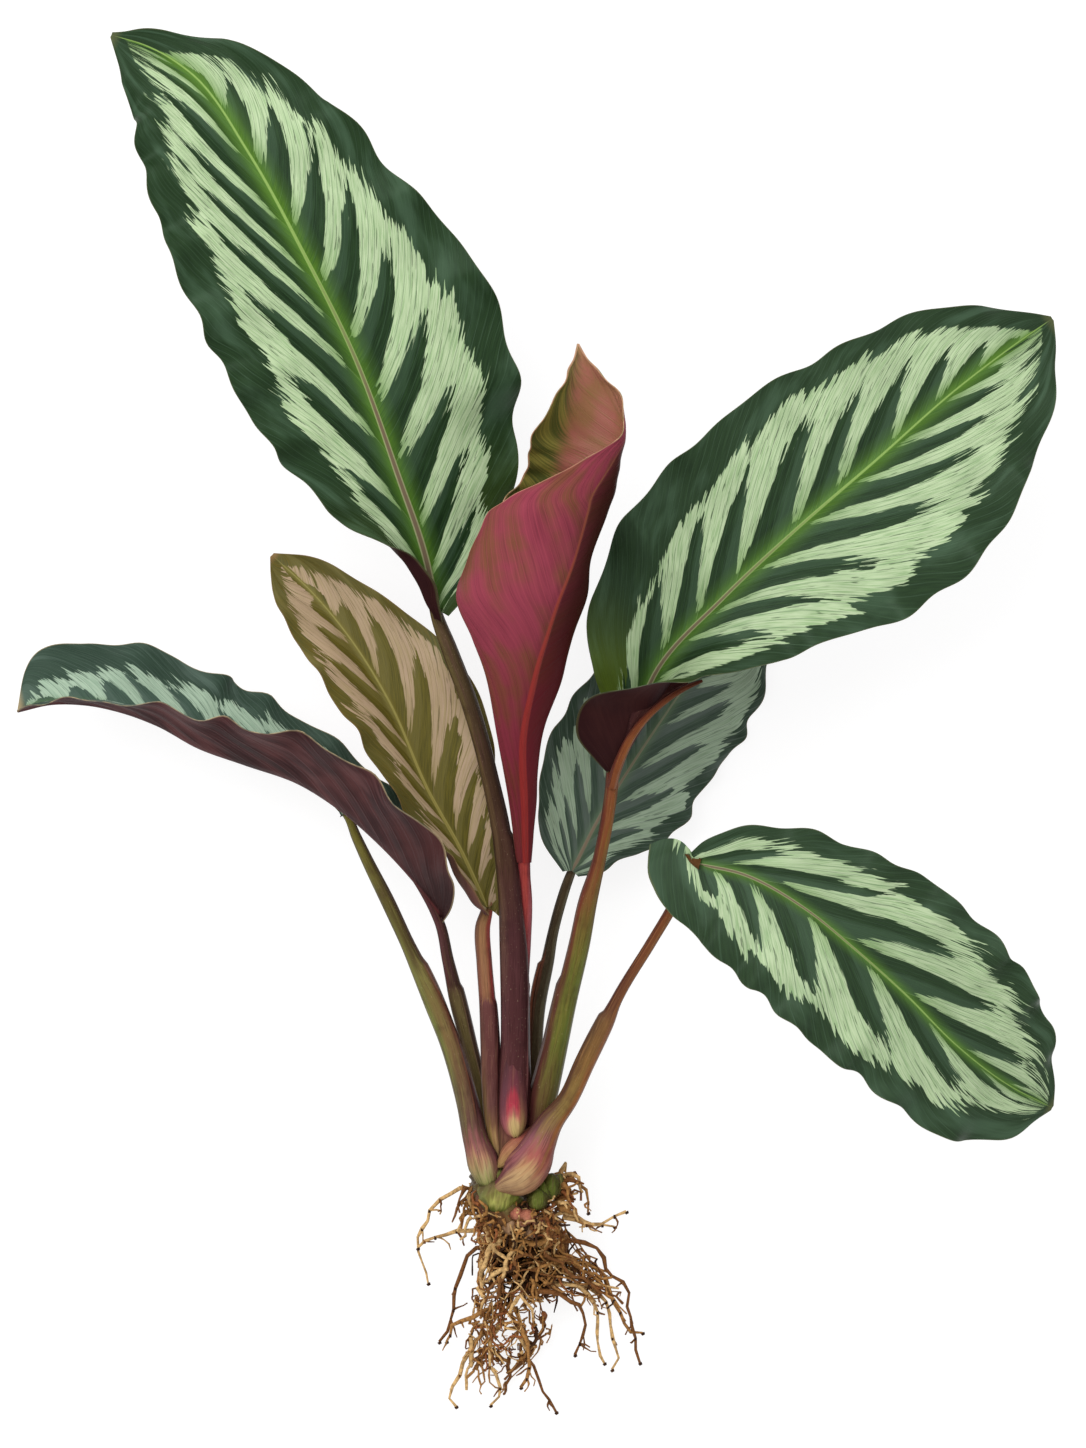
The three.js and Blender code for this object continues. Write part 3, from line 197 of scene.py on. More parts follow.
# Blades by place along the midrib.
#   facing       the way the upper side faces, up where it isn't given
#   wave_height  height of the margin's waves, and scallop how far it goes in and out
#   width        of a half, crease the degrees that it folds up beside the midrib
#   roll         degrees that it turns further between the shares roll_from and roll_by of its width
#   waves        how many there are along the margin, and phase where they start
#   back         how far the margin reaches back at the base, or sweep the same as a table
#   lobe         how far the rounded base bulges past a straight line
#   shift        how far the margin moves to the right and up the plant
# A look gives the least width of the border and what tip adds to it, how far the glow along the midrib
# reaches and how wide the midrib is as shares of the greatest, how lime the base of the border is, how
# blunt the dark stripes are, and the share and colour of a tone over the whole blade.
BLADES = {
    "tall_left": dict(
        slot="blade_green", grid=FINE_GRID, scallop=1.3, wave_height=3.2,
        facing=((0, (0.1, 0, 1)), (0.5, (0.12, 0, 1)), (1, (0, 0.1, 1))),
        midrib=((-29, 258, 60), (-33, 277.5, 63), (-43, 307.5, 69), (-59.5, 352.5, 76), (-78, 390, 80),
                (-98, 426.5, 79), (-119, 456, 72), (-136, 467, 64), (-149.5, 471.5, 57)),
        look=leaf_look(border=6.0, tip=3.0, reach=1.1, rib=0.75, lime=0.15),
        left=half(
            width=((0, 3), (0.02, 8), (0.05, 12), (0.1, 18), (0.15, 24), (0.2, 31), (0.3, 42), (0.4, 47),
                   (0.6, 46.5), (0.7, 42), (0.8, 35), (0.87, 28), (0.93, 19), (0.97, 10), (1, 1)),
            crease=((0, 20), (0.2, 14), (1, 12)), waves=9.5, phase=0.3, back=4,
            roll=((0, 150), (0.06, 150), (0.13, 60), (0.2, 0), (1, 0)), roll_from=0.45, roll_by=0.8,
            shift=((0, (2, 0)), (0.02, (3, 0)), (0.05, (3.8, 0)), (0.08, (1, 0)), (0.1, (-1, 0)),
                   (0.14, (0, 0)), (1, (0, 0)))),
        right=half(
            width=((0, 4), (0.02, 12), (0.05, 24), (0.1, 36), (0.15, 43), (0.2, 48), (0.3, 54.5), (0.4, 56),
                   (0.5, 51), (0.6, 43), (0.7, 37), (0.8, 26), (0.87, 15), (0.93, 7), (0.97, 3.5), (1, 1)),
            crease=((0, 2), (0.1, -10), (0.2, -6), (0.35, 6), (1, 10)), waves=7.5, phase=0.1, back=3)),
    "olive": dict(
        slot="blade_olive", scallop=0.35, wave_height=1.6, facing=((0, (-0.1, 0, 1)), (1, (0, 0, 1))),
        midrib=((-10.5, 148, 37), (-20, 169, 41), (-32, 191, 43), (-47, 225, 43), (-61, 247.5, 40),
                (-75, 264.5, 35), (-90.5, 279, 29)),
        look=leaf_look(border=3.5, tip=2.0, reach=0.25, rib=0.4, blunt=0.08),
        left=half(
            width=((0, 2.5), (0.03, 9), (0.07, 12), (0.12, 13), (0.2, 14), (0.3, 15), (0.4, 17.5),
                   (0.5, 20.5), (0.6, 21.5), (0.7, 20.5), (0.8, 18), (0.87, 15.5), (0.93, 10.5), (0.97, 5.5),
                   (1, 1)),
            crease=((0, 40), (0.2, 45), (0.5, 45), (0.8, 32), (1, 20)), waves=6, phase=0.2, back=3,
            roll=((0, 110), (0.1, 100), (0.2, 30), (0.3, 0), (1, 0)), roll_from=0.35, roll_by=0.8),
        right=half(
            width=((0, 3), (0.03, 7.5), (0.1, 12.5), (0.2, 19.5), (0.3, 27), (0.4, 31), (0.5, 31), (0.6, 28),
                   (0.7, 22), (0.8, 16.5), (0.87, 13), (0.93, 8.5), (0.97, 4.5), (1, 1)),
            crease=((0, -6), (0.3, 0), (1, 8)), waves=5, phase=0.5,
            sweep=((0, -6), (0.08, -2), (0.15, 0), (1, 0)))),
    "drooping_left": dict(
        slot="blade_maroon", scallop=0.6, wave_height=1.8,
        facing=((0, (0.8, 0.5, 0.3)), (0.25, (0.5, 0.82, 0.28)), (0.5, (0.34, 0.92, 0.24)),
                (0.8, (0.2, 0.96, 0.24)), (1, (0, 0.95, 0.35))),
        midrib=((-26, 145, 40.5), (-35.5, 157.5, 42.5), (-49, 172, 44), (-64.5, 185.3, 45),
                (-79.7, 194.8, 45.5), (-100.3, 202, 46), (-117.3, 208, 46), (-132, 216, 45),
                (-145.4, 221, 44), (-160.5, 224, 42), (-172.5, 224, 40), (-185, 221, 37)),
        look=leaf_look(border=6.0, reach=0.6, rib=0.6, blunt=0.1),
        left=half(
            width=((0, 3), (0.03, 14), (0.08, 25), (0.15, 31), (0.25, 34), (0.4, 37), (0.55, 34), (0.65, 29),
                   (0.8, 23), (0.9, 15), (0.96, 8), (1, 1)),
            crease=((0, 38), (0.1, 38), (0.25, 44), (0.7, 46), (1, 40)), waves=7, phase=0.15, back=4,
            shift=((0, (-4, 0)), (0.02, (-1, 0)), (0.05, (2.2, 0)), (0.08, (4.6, 0)), (0.12, (6, 0)),
                   (0.16, (5, 0)), (0.22, (2.5, 0)), (0.3, (0, 0)), (0.4, (0, -1)), (0.5, (0, -4)),
                   (0.6, (0, -4.5)), (0.7, (0, -6)), (0.75, (0, -8.5)), (0.8, (0, -8)), (0.86, (0, -8)),
                   (0.91, (0, -5)), (0.96, (0, -2)), (1, (0, 0)))),
        right=half(
            width=((0, 3), (0.05, 11), (0.15, 17), (0.25, 20), (0.38, 24), (0.5, 31), (0.6, 34.5), (0.7, 32),
                   (0.78, 32), (0.86, 29), (0.93, 20), (0.97, 11), (1, 1)),
            crease=((0, 40), (0.3, 42), (1, 42)), waves=7.5, phase=0.4, back=2,
            shift=((0, (-5, 0)), (0.05, (-3.5, 0)), (0.12, (-2, 0)), (0.2, (0, 0)), (0.88, (0, 0)),
                   (0.94, (-3, 4)), (0.97, (-2, 4.5)), (1, (0, 0))))),
    "hidden_left": dict(
        slot="blade_grey_green", scallop=0.5, wave_height=0.8, facing=((0, (0, 0.1, 1)), (1, (0, 0.1, 1))),
        midrib=((-63.5, 183, 20), (-86, 204.5, 12.5), (-115, 221.5, 6.2), (-141, 232, 5.2), (-157, 236, 6)),
        look=leaf_look(border=5.0, reach=0.6, rib=0.6, blunt=0.1),
        left=half(
            width=((0, 2), (0.1, 5), (0.3, 9.5), (0.5, 12), (0.7, 10.5), (0.88, 6), (1, 0.8)),
            crease=((0, -10), (0.4, -32), (0.7, -32), (1, -15)), waves=4, phase=0,
            shift=((0, (0, 0)), (0.05, (1.5, 3)), (0.2, (2.5, 4.5)), (0.35, (0, 0)), (1, (0, 0)))),
        right=half(
            width=((0, 2), (0.1, 5), (0.3, 9.5), (0.5, 12), (0.7, 10.5), (0.88, 6), (1, 0.8)),
            crease=((0, 20), (1, 20)), waves=4, phase=0.5)),
    "back_right": dict(
        slot="blade_grey_green", grid=FINE_GRID, scallop=0.8, wave_height=1.8,
        midrib=((21.4, 161.3, 26), (32, 182, 24.5), (41.3, 197, 20.5), (52.5, 214, 15.5),
                (65.6, 232.5, 11.2), (79, 248, 9), (91, 263, 9)),
        look=leaf_look(border=3.0, reach=0.5, rib=0.4, blunt=0.1),
        left=half(
            width=((0, 3), (0.04, 14), (0.08, 19), (0.14, 23.5), (0.25, 30.5), (0.4, 32.5), (0.55, 31),
                   (0.7, 26.5), (0.85, 17), (0.95, 8), (1, 1)),
            crease=((0, 10), (1, 10)), waves=6, phase=0.3, back=2),
        right=half(
            width=((0, 3), (0.04, 10.5), (0.09, 14), (0.14, 20), (0.25, 27.5), (0.34, 29), (0.42, 29),
                   (0.5, 29), (0.6, 31), (0.67, 30), (0.75, 28), (0.85, 21), (0.95, 10), (1, 1)),
            crease=((0, 0), (0.3, -14), (0.6, -21), (1, -12)), waves=6.5, phase=0, back=1)),
    "broad_right": dict(
        slot="blade_green", grid=FINE_GRID, scallop=1.2, wave_height=2.8,
        midrib=((36.4, 199.5, 50), (44, 216, 54), (52.5, 235.5, 58), (77, 262.5, 66), (103, 287, 71),
                (133, 313, 72), (163, 339.5, 68), (184.5, 356, 60), (199.5, 366.5, 51)),
        look=leaf_look(border=6.0, tip=3.5, reach=1.0, rib=0.6, lime=0.8, tone=(0.02, 0x8a988a)),
        left=half(
            width=((0, 3), (0.03, 12), (0.06, 17), (0.1, 21), (0.15, 27), (0.2, 36), (0.3, 47), (0.4, 49),
                   (0.5, 49), (0.6, 47), (0.7, 40.5), (0.8, 34), (0.87, 25), (0.93, 15), (0.97, 7), (1, 1)),
            crease=((0, 20), (0.2, 12), (1, 8)), waves=7, phase=0.1, back=3,
            shift=((0, (2, 0)), (0.03, (5, 0)), (0.07, (7, 0)), (0.1, (5, 0)), (0.13, (2.5, 0)),
                   (0.18, (0, 0)), (1, (0, 0)))),
        right=half(
            width=((0, 3), (0.03, 17), (0.06, 24), (0.1, 29), (0.15, 30), (0.2, 29.5), (0.3, 31), (0.4, 39),
                   (0.5, 50), (0.6, 53), (0.7, 51), (0.8, 41.5), (0.87, 33), (0.93, 21), (0.97, 11.5),
                   (1, 1)),
            crease=((0, 10), (0.3, 8), (1, 6)), waves=7.5, phase=0.4, back=2,
            roll=((0, 175), (0.08, 168), (0.11, 145), (0.15, 108), (0.2, 72), (0.25, 46), (0.3, 22),
                  (0.37, 0), (1, 0)),
            roll_by=0.42,
            shift=((0, (0, 0)), (0.02, (-3, 0)), (0.04, (-5.5, 0)), (0.07, (-5.5, 0)), (0.1, (-3, 0)),
                   (0.14, (0, 0)), (0.18, (0, 2)), (0.25, (0, 0)), (1, (0, 0))))),
    "low_right": dict(
        slot="blade_green", grid=FINE_GRID, scallop=1.2, wave_height=2.6,
        facing=((0, (0, 0, 1)), (1, (0.1, -0.1, 1))),
        midrib=((65.5, 164.6, 76), (84.5, 160.5, 80), (107, 148, 84), (125.5, 133, 85), (144.5, 116, 82),
                (162.5, 98, 75), (181, 83.5, 64), (199.5, 73.5, 51)),
        look=leaf_look(border=5.0, reach=0.55, rib=0.34, tone=(0.08, 0x5a6658)),
        left=half(
            width=((0, 4), (0.02, 8.5), (0.05, 12.5), (0.1, 18), (0.2, 26), (0.3, 31), (0.4, 37),
                   (0.5, 38.5), (0.6, 38.5), (0.7, 37.5), (0.8, 32), (0.87, 26.5), (0.93, 18), (0.97, 9),
                   (1, 1)),
            crease=((0, 12), (1, 8)), waves=7.5, phase=0.6, back=1),
        right=half(
            width=((0, -4), (0.015, 9), (0.036, 18.5), (0.07, 24), (0.12, 30), (0.2, 34.5), (0.3, 36),
                   (0.5, 37), (0.6, 34), (0.7, 32), (0.8, 30), (0.87, 24.5), (0.93, 16), (0.97, 8), (1, 1)),
            crease=((0, 14), (0.2, 8), (1, 8)), waves=7.5, phase=0.2,
            sweep=((0, -14.5), (0.02, -13.5), (0.04, -12), (0.07, -9), (0.12, -5), (0.2, 0), (1, 0)),
            roll=((0, -30), (0.15, 0), (1, 0)), roll_from=0.3, lobe=5.5,
            shift=((0, (-2.5, 0)), (0.01, (-3.5, 0)), (0.02, (-2, 0)), (0.04, (0, 0)), (1, (0, 0))))),
}

# Rings up the rolled blade: centre, half width and half depth, and the degrees round it, from the front
# toward the right, of the midrib, the outer margin and the inner one
ROLLED_LEAF = ((3.4, 164.5, 46.9, 2.9, 2.7, 5, -80, 200), (3, 187.5, 57, 5.3, 4.6, 5, -85, 275),
               (2, 210, 68, 8.3, 7.2, 8, -95, 315), (3.8, 232.5, 79, 14.2, 12, 15, -95, 330),
               (3, 247.5, 85, 18.7, 15.5, 28, -93, 335), (2.8, 262.5, 89, 24.3, 19, 35, -90, 332),
               (5.8, 277.5, 92, 23, 19, 46, -82, 300), (11.2, 292.5, 95, 23, 19, 42, -69, 255),
               (14.2, 300, 96, 22.5, 18.5, 40, -40, 235), (17, 307.5, 97, 21.3, 17.5, 50, -4, 222),
               (20, 315, 98, 19.5, 16, 66, 27, 232), (23, 322.5, 98, 18, 14.5, 90, 64, 248),
               (27, 337.5, 98, 12, 10, 150, 103, 252), (24.8, 347.5, 96, 5.5, 5, 170, 120, 235),
               (23.4, 356, 93, 0.9, 0.8, 180, 150, 210))

# Petioles: the thickness of the end under the blade and how far it hangs below its seat, the height where
# the sheath ends in a shoulder and the degrees from the right edge that this faces, the degrees that the
# sheath's free edge faces by height, and stations of centre, half width and half depth. A look gives
# colours by height for the middle and the two sides, the share and colour of its streaks, the colour of
# its specks, which also paints shade along both flanks, and the heights and the colour of the sheath's
# free edge. The side colours are partly the stems' own colours and partly painted shade where the sides
# turn away from the light.
PETIOLES = {
    "low_right": dict(
        slot="petiole_orange", tip=1.7, drop=-0.6, top=108, shoulder=130,
        slit=((40, 150), (60, 120), (90, 110), (108, 130)),
        stations=((-5.4, 43.6, 34, 2.6, 3.6), (1.2, 47, 37, 7.2, 5.6), (5.8, 52.5, 38.5, 7.8, 5.8),
                  (9.4, 60, 39, 6, 5), (13.2, 67.5, 39, 4.7, 4.2), (19, 75, 39.5, 3.7, 3.7),
                  (26.2, 90, 42, 3.6, 3.5), (33.8, 105, 46, 3, 3), (37.5, 113, 48.5, 2.1, 2.1),
                  (50.6, 135, 57, 1.9, 1.9), (58, 147.5, 63, 1.9, 1.9)),
        look=dict(
            middle=((39.5, 0x3c2a1c), (41.5, 0x8a6c50), (47, 0xb4946a), (51, 0xae8660), (55, 0x9c5650),
                    (61, 0x8c5a54), (66, 0x7c6044), (74, 0x7c6838), (90, 0x7c5c32), (106, 0x6e5030),
                    (109, 0x5c3a28), (130, 0x6e4228), (146, 0x7a4828), (156, 0x58401e), (170, 0x503a1c)),
            left=((40, 0x5c3434), (46, 0x6a4044), (52, 0x8a5256), (58, 0x7c4a52), (64, 0x5c3a3c),
                  (74, 0x4c3426), (90, 0x503624), (106, 0x54402a), (109, 0x482a20), (150, 0x5a3020),
                  (160, 0x46301a)),
            right=((40, 0x6a4834), (46, 0xa07c58), (50, 0x8c5448), (57, 0x7c4038), (62, 0x7c4c30),
                   (70, 0x8c5a2c), (95, 0x865630), (110, 0x7a4c2a), (146, 0x86582e), (156, 0x58401e),
                   (170, 0x503a1c)),
            streak=(0.45, 0x9a7044), speck_and_shade=0x4c2a24)),
    "hidden_left": dict(
        slot="petiole_green", tip=1.4, drop=0, top=127, shoulder=30,
        slit=((50, 80), (80, 50), (110, 30), (127, 50)),
        stations=((-10.3, 47.8, 31.5, 4.9, 4.8), (-11.6, 52.5, 32.6, 6, 5.3), (-14.2, 60, 32, 4.8, 4.6),
                  (-17.6, 75, 31, 4.2, 4.1), (-24.2, 97.5, 30.5, 3.9, 3.7), (-30.3, 112.5, 29, 3.8, 3.5),
                  (-37, 127.5, 27, 3, 2.9), (-40.5, 135, 26, 2.6, 2.5), (-47.5, 150, 24, 2.6, 2.5),
                  (-55, 165, 21.5, 2.2, 2.2), (-59, 173.5, 20, 1.9, 1.9)),
        look=dict(
            middle=((43.5, 0x4a3c20), (46, 0x8e9054), (51, 0xa8986a), (56, 0xa87c60), (60, 0x8a5654),
                    (66, 0x5c4038), (80, 0x604834), (100, 0x705c38), (124, 0x6a6434), (130, 0x4c4424),
                    (160, 0x5c5628), (180, 0x7a7430)),
            left=((43.5, 0x3c3420), (46.5, 0x747444), (54, 0x9a8058), (60, 0x84504a), (66, 0x584a34),
                  (80, 0x5c5434), (100, 0x646a34), (124, 0x6c6c38), (150, 0x545028), (180, 0x706c30)),
            right=((43.5, 0x3c2c1c), (48, 0x84604a), (56, 0x6a3c40), (70, 0x44262a), (100, 0x5c342c),
                   (124, 0x6a4030), (130, 0x3c2a1c), (180, 0x44381e)),
            streak=(0.4, 0x7c7a44), speck_and_shade=0x3a2820, edge=(70, 125, 0x805038))),
    "tall_left": dict(
        slot="petiole_dark", tip=2.2, drop=0.1, top=175, shoulder=20,
        slit=((50, 60), (75, 40), (130, 20), (175, 10)),
        stations=((-1, 50, 28, 5.4, 4.6), (-0.5, 67.5, 31, 6, 5.2), (0, 82.5, 33, 6, 5.2),
                  (0.2, 97.5, 34.5, 5.5, 5), (0, 120, 38, 5.4, 4.9), (-0.6, 135, 40.5, 5.1, 4.6),
                  (-1.8, 150, 43.5, 4.2, 4), (-3.4, 165, 46, 3.8, 3.6), (-5.6, 180, 48.5, 3.5, 3.4),
                  (-8.9, 195, 51, 3.2, 3.1), (-12.6, 210, 53, 3.1, 3), (-17.2, 225, 55, 3.1, 2.9),
                  (-24, 243, 56.5, 3, 2.6)),
        look=dict(
            middle=((48, 0xa08058), (58, 0x8a5c4a), (66, 0x5a2e2e), (80, 0x442426), (140, 0x442628),
                    (160, 0x422c22), (200, 0x3e2e20), (240, 0x50422c)),
            left=((48, 0x8a6a4a), (66, 0x5c3432), (110, 0x4c2c2e), (150, 0x584032), (200, 0x5c4a30),
                  (240, 0x5c5030)),
            right=((48, 0x7a5a40), (66, 0x4a2626), (110, 0x341a1c), (150, 0x3a2020), (200, 0x2c2016),
                   (240, 0x3c3420)),
            streak=(0.35, 0x5c383a), speck_and_shade=0x241214, edge=(64, 170, 0x8a5a58))),
    "furled": dict(
        slot="petiole_red", top=120, shoulder=20, slit=((90, 40), (150, 40)),
        stations=((1.6, 92, 31.5, 2, 2), (2.4, 112.5, 34.5, 2.2, 2.2), (3.6, 135, 38.5, 2.4, 2.4),
                  (4, 150, 42, 2.5, 2.4), (3.6, 159, 44.5, 2.3, 2.2), (3.4, 164, 46.5, 2.4, 2.4),
                  (3.2, 170, 49, 2.3, 2.3), (2.8, 178, 52.5, 1.6, 1.6), (2.6, 186, 56, 0.6, 0.6)),
        look=dict(
            middle=((90, 0x6a2a2c), (130, 0x7a3234), (160, 0x963a34), (175, 0xa03c38)),
            left=((90, 0x5c2426), (160, 0x7a2c30)), right=((90, 0x6a3034), (150, 0x944a50), (160, 0x7a2a30)),
            streak=(0.3, 0xa05a50), speck_and_shade=0x4a1c1e)),
    "broad_right": dict(
        slot="petiole_red", tip=2.3, drop=0.6, top=120, shoulder=200, slit=((50, 170), (120, 190)),
        stations=((5.5, 49, 26, 3.6, 3.6), (8, 62, 29, 4.7, 4.4), (10.2, 75, 31.5, 5.1, 4.7),
                  (11.9, 82.5, 32.5, 5.1, 4.7), (15.4, 97.5, 34.5, 4.6, 4.3), (18.8, 112.5, 36.5, 4.2, 4),
                  (24.2, 135, 40, 3.9, 3.7), (27.2, 150, 42.5, 3.5, 3.3), (31.3, 165, 45, 2.5, 2.4),
                  (34.3, 180, 47, 2.4, 2.3), (36, 192, 47.5, 2.4, 2.2)),
        look=dict(
            middle=((49, 0x6a4c38), (62, 0x5c3830), (78, 0x5c4a2a), (95, 0x5e6228), (125, 0x606428),
                    (142, 0x6a5a2a), (158, 0x74482a), (195, 0x80482a)),
            left=((49, 0x5a382e), (70, 0x4c2424), (100, 0x523028), (130, 0x5c3626), (150, 0x6a3626),
                  (165, 0x54241e), (195, 0x602a20)),
            right=((49, 0x5c4830), (78, 0x5c5a2e), (100, 0x5c6a30), (130, 0x646c30), (150, 0x6e5c2c),
                   (195, 0x84502a)),
            streak=(0.4, 0x7a6a34), speck_and_shade=0x3c261c)),
    "olive": dict(
        slot="petiole_red", tip=2, drop=0.6, top=113, shoulder=60, slit=((50, 100), (80, 60), (113, 30)),
        stations=((-4.5, 48, 26, 2.2, 2.6), (-5.8, 56, 28, 2.8, 3.2), (-7.4, 67.5, 30, 3.7, 3.7),
                  (-8.5, 82.5, 31.5, 3.9, 3.8), (-9.2, 97.5, 32.5, 3.6, 3.5), (-10.2, 112.5, 33, 3.1, 3),
                  (-11.4, 127.5, 33.5, 2.9, 2.8), (-12, 140, 34, 2.8, 2.7)),
        look=dict(
            middle=((48, 0xa88850), (56, 0xb89668), (60, 0xa08054), (66, 0x74543c), (74, 0x5a3836),
                    (90, 0x563230), (111, 0x5c3634), (114, 0x8a6044), (150, 0x96704a)),
            left=((48, 0xa08a54), (60, 0x8a7040), (72, 0x6a5438), (90, 0x604034), (111, 0x5c3a38),
                  (114, 0x7a4c3c), (150, 0x70503a)),
            right=((48, 0xa8704c), (58, 0x7c4440), (66, 0x542c2c), (111, 0x3c1c1e), (114, 0x8c3634),
                   (150, 0x983c34)),
            streak=(0.4, 0x8a6450), speck_and_shade=0x42241f, edge=(60, 113, 0x7a4a44))),
    "drooping_left": dict(
        slot="petiole_dark", tip=1.8, drop=-0.3, top=118, shoulder=30, slit=((50, 70), (100, 60), (118, 50)),
        stations=((-7, 50, 20, 2.3, 2.3), (-9.5, 60, 20, 2.6, 2.4), (-13, 80, 21, 2.8, 2.5),
                  (-17.4, 97.5, 24, 3, 2.6), (-21.4, 112.5, 28, 2.9, 2.6), (-24.8, 127.5, 34, 2.2, 2.1)),
        look=dict(
            middle=((50, 0x5c4a34), (80, 0x5c5230), (114, 0x5a4e30), (119, 0x3e2826), (150, 0x4a2a2c)),
            left=((50, 0x5c4430), (114, 0x544630), (119, 0x50302e), (150, 0x4c2c2e)),
            right=((50, 0x3e2a20), (114, 0x3a2820), (150, 0x2e181a)), streak=(0.4, 0x6a5c34), speck_and_shade=0x261812,
            edge=(50, 117, 0x7a5a40))),
    "back_right": dict(
        slot="petiole_dark", tip=1.6, drop=0, top=127, shoulder=150, slit=((50, 110), (127, 140)),
        stations=((4.5, 50, 17, 2.2, 2.2), (5.8, 62, 17.5, 2.5, 2.3), (7, 82.5, 18.5, 2.7, 2.4),
                  (8.9, 112.5, 20, 2.8, 2.5), (12.2, 127.5, 21, 2.4, 2.2), (14, 137, 21.7, 2, 1.9),
                  (17.4, 150, 22.6, 1.9, 1.8), (19.5, 156.5, 23, 1.8, 1.7)),
        look=dict(
            middle=((50, 0x443426), (100, 0x423a28), (125, 0x3c3626), (160, 0x4c402c)),
            left=((50, 0x4a2c22), (100, 0x5c3426), (126, 0x6a3a28), (130, 0x2e2a1e), (160, 0x3c3426)),
            right=((50, 0x3c3226), (120, 0x4c4a36), (160, 0x5a5440)), streak=(0.4, 0x605a44), speck_and_shade=0x221c16,
            edge=(60, 126, 0x7a4a34))),
}
LONG_ROOTS = (
    ((-3, 37, 20), (-17, 43, 22), (-33, 31, 17), (-36.5, 21.5, 12), (-32, 6.5, 7)),
    ((-4, 28, 18), (-16, 27, 21), (-28, 25, 17), (-37.5, 20.5, 14)),
    ((-5, 20, 14), (-14, 20.5, 15), (-22.5, 4, 9), (-24.5, -9.5, 5), (-28, -15, 3)),
    ((-4, -2, 12), (-12, -4, 15), (-22.5, -9.5, 9), (-26, -16, 4)),
    ((-6, -10, 9), (-15, -15, 8), (-20, -26.5, 5), (-24.5, -37.5, 3), (-22.5, -40.5, 2)),
    ((-5, -8, 12), (-9.5, -17, 11), (-7, -30, 7), (-5, -35, 5), (-9, -39, 3)),
    ((-2, -4, 12), (3.8, -15, 10), (7.5, -28, 6), (13, -37, 4), (16, -41.5, 2)),
    ((0, -2, 14), (5.5, -17, 14), (5.5, -26.5, 10), (2.5, -32, 6)),
    ((6, 30, 20), (17, 34, 24), (27, 30, 21), (32, 28, 18), (37, 28, 16)),
    ((18, 32, 22), (31, 29.5, 24), (41.5, 34, 22)),
    ((8, 22, 16), (32, 19, 17), (34, 12, 14), (41.5, 6, 11), (42.5, -4, 8), (45, -15, 5), (46, -23.5, 3)),
    ((8, 15, 14), (32, 11.5, 12), (37.5, 0, 9), (43, -11.5, 6), (48, -12, 4)),
    ((6, 8, 12), (32, 2, 8), (37.5, -19, 5), (38.5, -22.5, 4), (37, -26.5, 3)),
    ((6, 4, 16), (22, 6, 17), (30, 0, 14), (31, -11.5, 9), (33, -24, 4)),
    ((4, 4, 18), (18, 3, 20), (24, -1, 17), (26, -8.5, 11), (23, -20.5, 6)),
    ((2, 34, 24), (12, 42, 26), (20.5, 47, 27), (26.5, 39.5, 23), (28, 33, 20)),
)
TURNED_LOOK = dict(
    middle=((196, 0x7c4626), (212, 0x784022), (234, 0x502418)), left=((196, 0x5c2a1e), (234, 0x42201a)),
    right=((196, 0x845230), (212, 0x80502c), (234, 0x54301c)), streak=(0.3, 0x8c5c38), speck_and_shade=0x42201a)
WEB_LOOK = dict(
    middle=((196, 0x34191a), (234, 0x40221f)), left=((196, 0x34191a), (234, 0x3a1e1e)),
    right=((196, 0x40221f), (234, 0x44241f)), streak=(0.3, 0x4a2824), speck_and_shade=0x241012)
BUD_LOOK = dict(
    middle=((60, 0x8a7844), (64, 0xb8a468), (70, 0xba9c6c), (73, 0xb4605c), (75.5, 0xa83244), (79, 0x98303e),
            (82, 0x64303a), (94, 0x44282c)),
    left=((60, 0x8a7844), (64, 0xac8c5c), (68, 0xa87060), (73, 0x8c4e52), (79, 0x5c343e), (94, 0x40262a)),
    right=((60, 0x7c6c3c), (66, 0xa08a54), (73, 0x8c7048), (79, 0x6a4438), (84, 0x442628), (94, 0x3a2024)),
    streak=(0.3, 0x8c5c4c), speck_and_shade=0x5c3032, peak=7.0)
WEDGE_LOOK = dict(
    middle=((50, 0x9c8650), (56, 0xa87c54), (59, 0xa05c4c), (62, 0x7a4038), (66, 0x4c2c26)),
    left=((50, 0x9c8650), (56, 0xa06c50), (60, 0x8c4a42), (66, 0x442622)),
    right=((50, 0x7c6438), (58, 0x7c5438), (66, 0x3c2620)), streak=(0.3, 0xb88c60), speck_and_shade=0x6a3c30)
RHIZOME_LOOK = dict(
    middle=((29, 0x5c4028), (35, 0x6a4c30), (40, 0x5e5830), (48, 0x6c7038), (56, 0x4c4424)),
    left=((29, 0x4a3020), (40, 0x50442a), (46, 0x565430), (56, 0x3c3420)),
    right=((29, 0x5c3828), (38, 0x6c4634), (44, 0x4c4a24), (56, 0x3c3c1e)), streak=(0.5, 0x8a7c4a),
    speck_and_shade=0x342014)
# The green lump's middle colours are lightest near its centre, a painted highlight over its lime green, and
# darker toward both ends
GREEN_LOOK = dict(
    middle=((33, 0x3c3a1c), (36, 0x66702e), (39, 0xa0a054), (42, 0x868644), (45, 0x645a34), (48, 0x3a3020)),
    left=((33, 0x44401f), (38, 0x6c703c), (43, 0x544a30), (47, 0x3a2c1e)),
    right=((33, 0x4c5020), (38, 0x70782e), (43, 0x5a6028), (47, 0x443c20)), streak=(0.2, 0x6a6236),
    speck_and_shade=0x5a5028)
GREEN_BUD_LOOK = dict(
    middle=((34, 0x4c4a24), (38, 0x5c6828), (43, 0x586626), (47, 0x46461f), (52, 0x342c18)),
    left=((34, 0x443c1c), (44, 0x4a5222), (52, 0x302614)),
    right=((34, 0x3c3a18), (44, 0x3c421a), (52, 0x2c2012)), streak=(0.45, 0x7c7844), speck_and_shade=0x3a2c18)
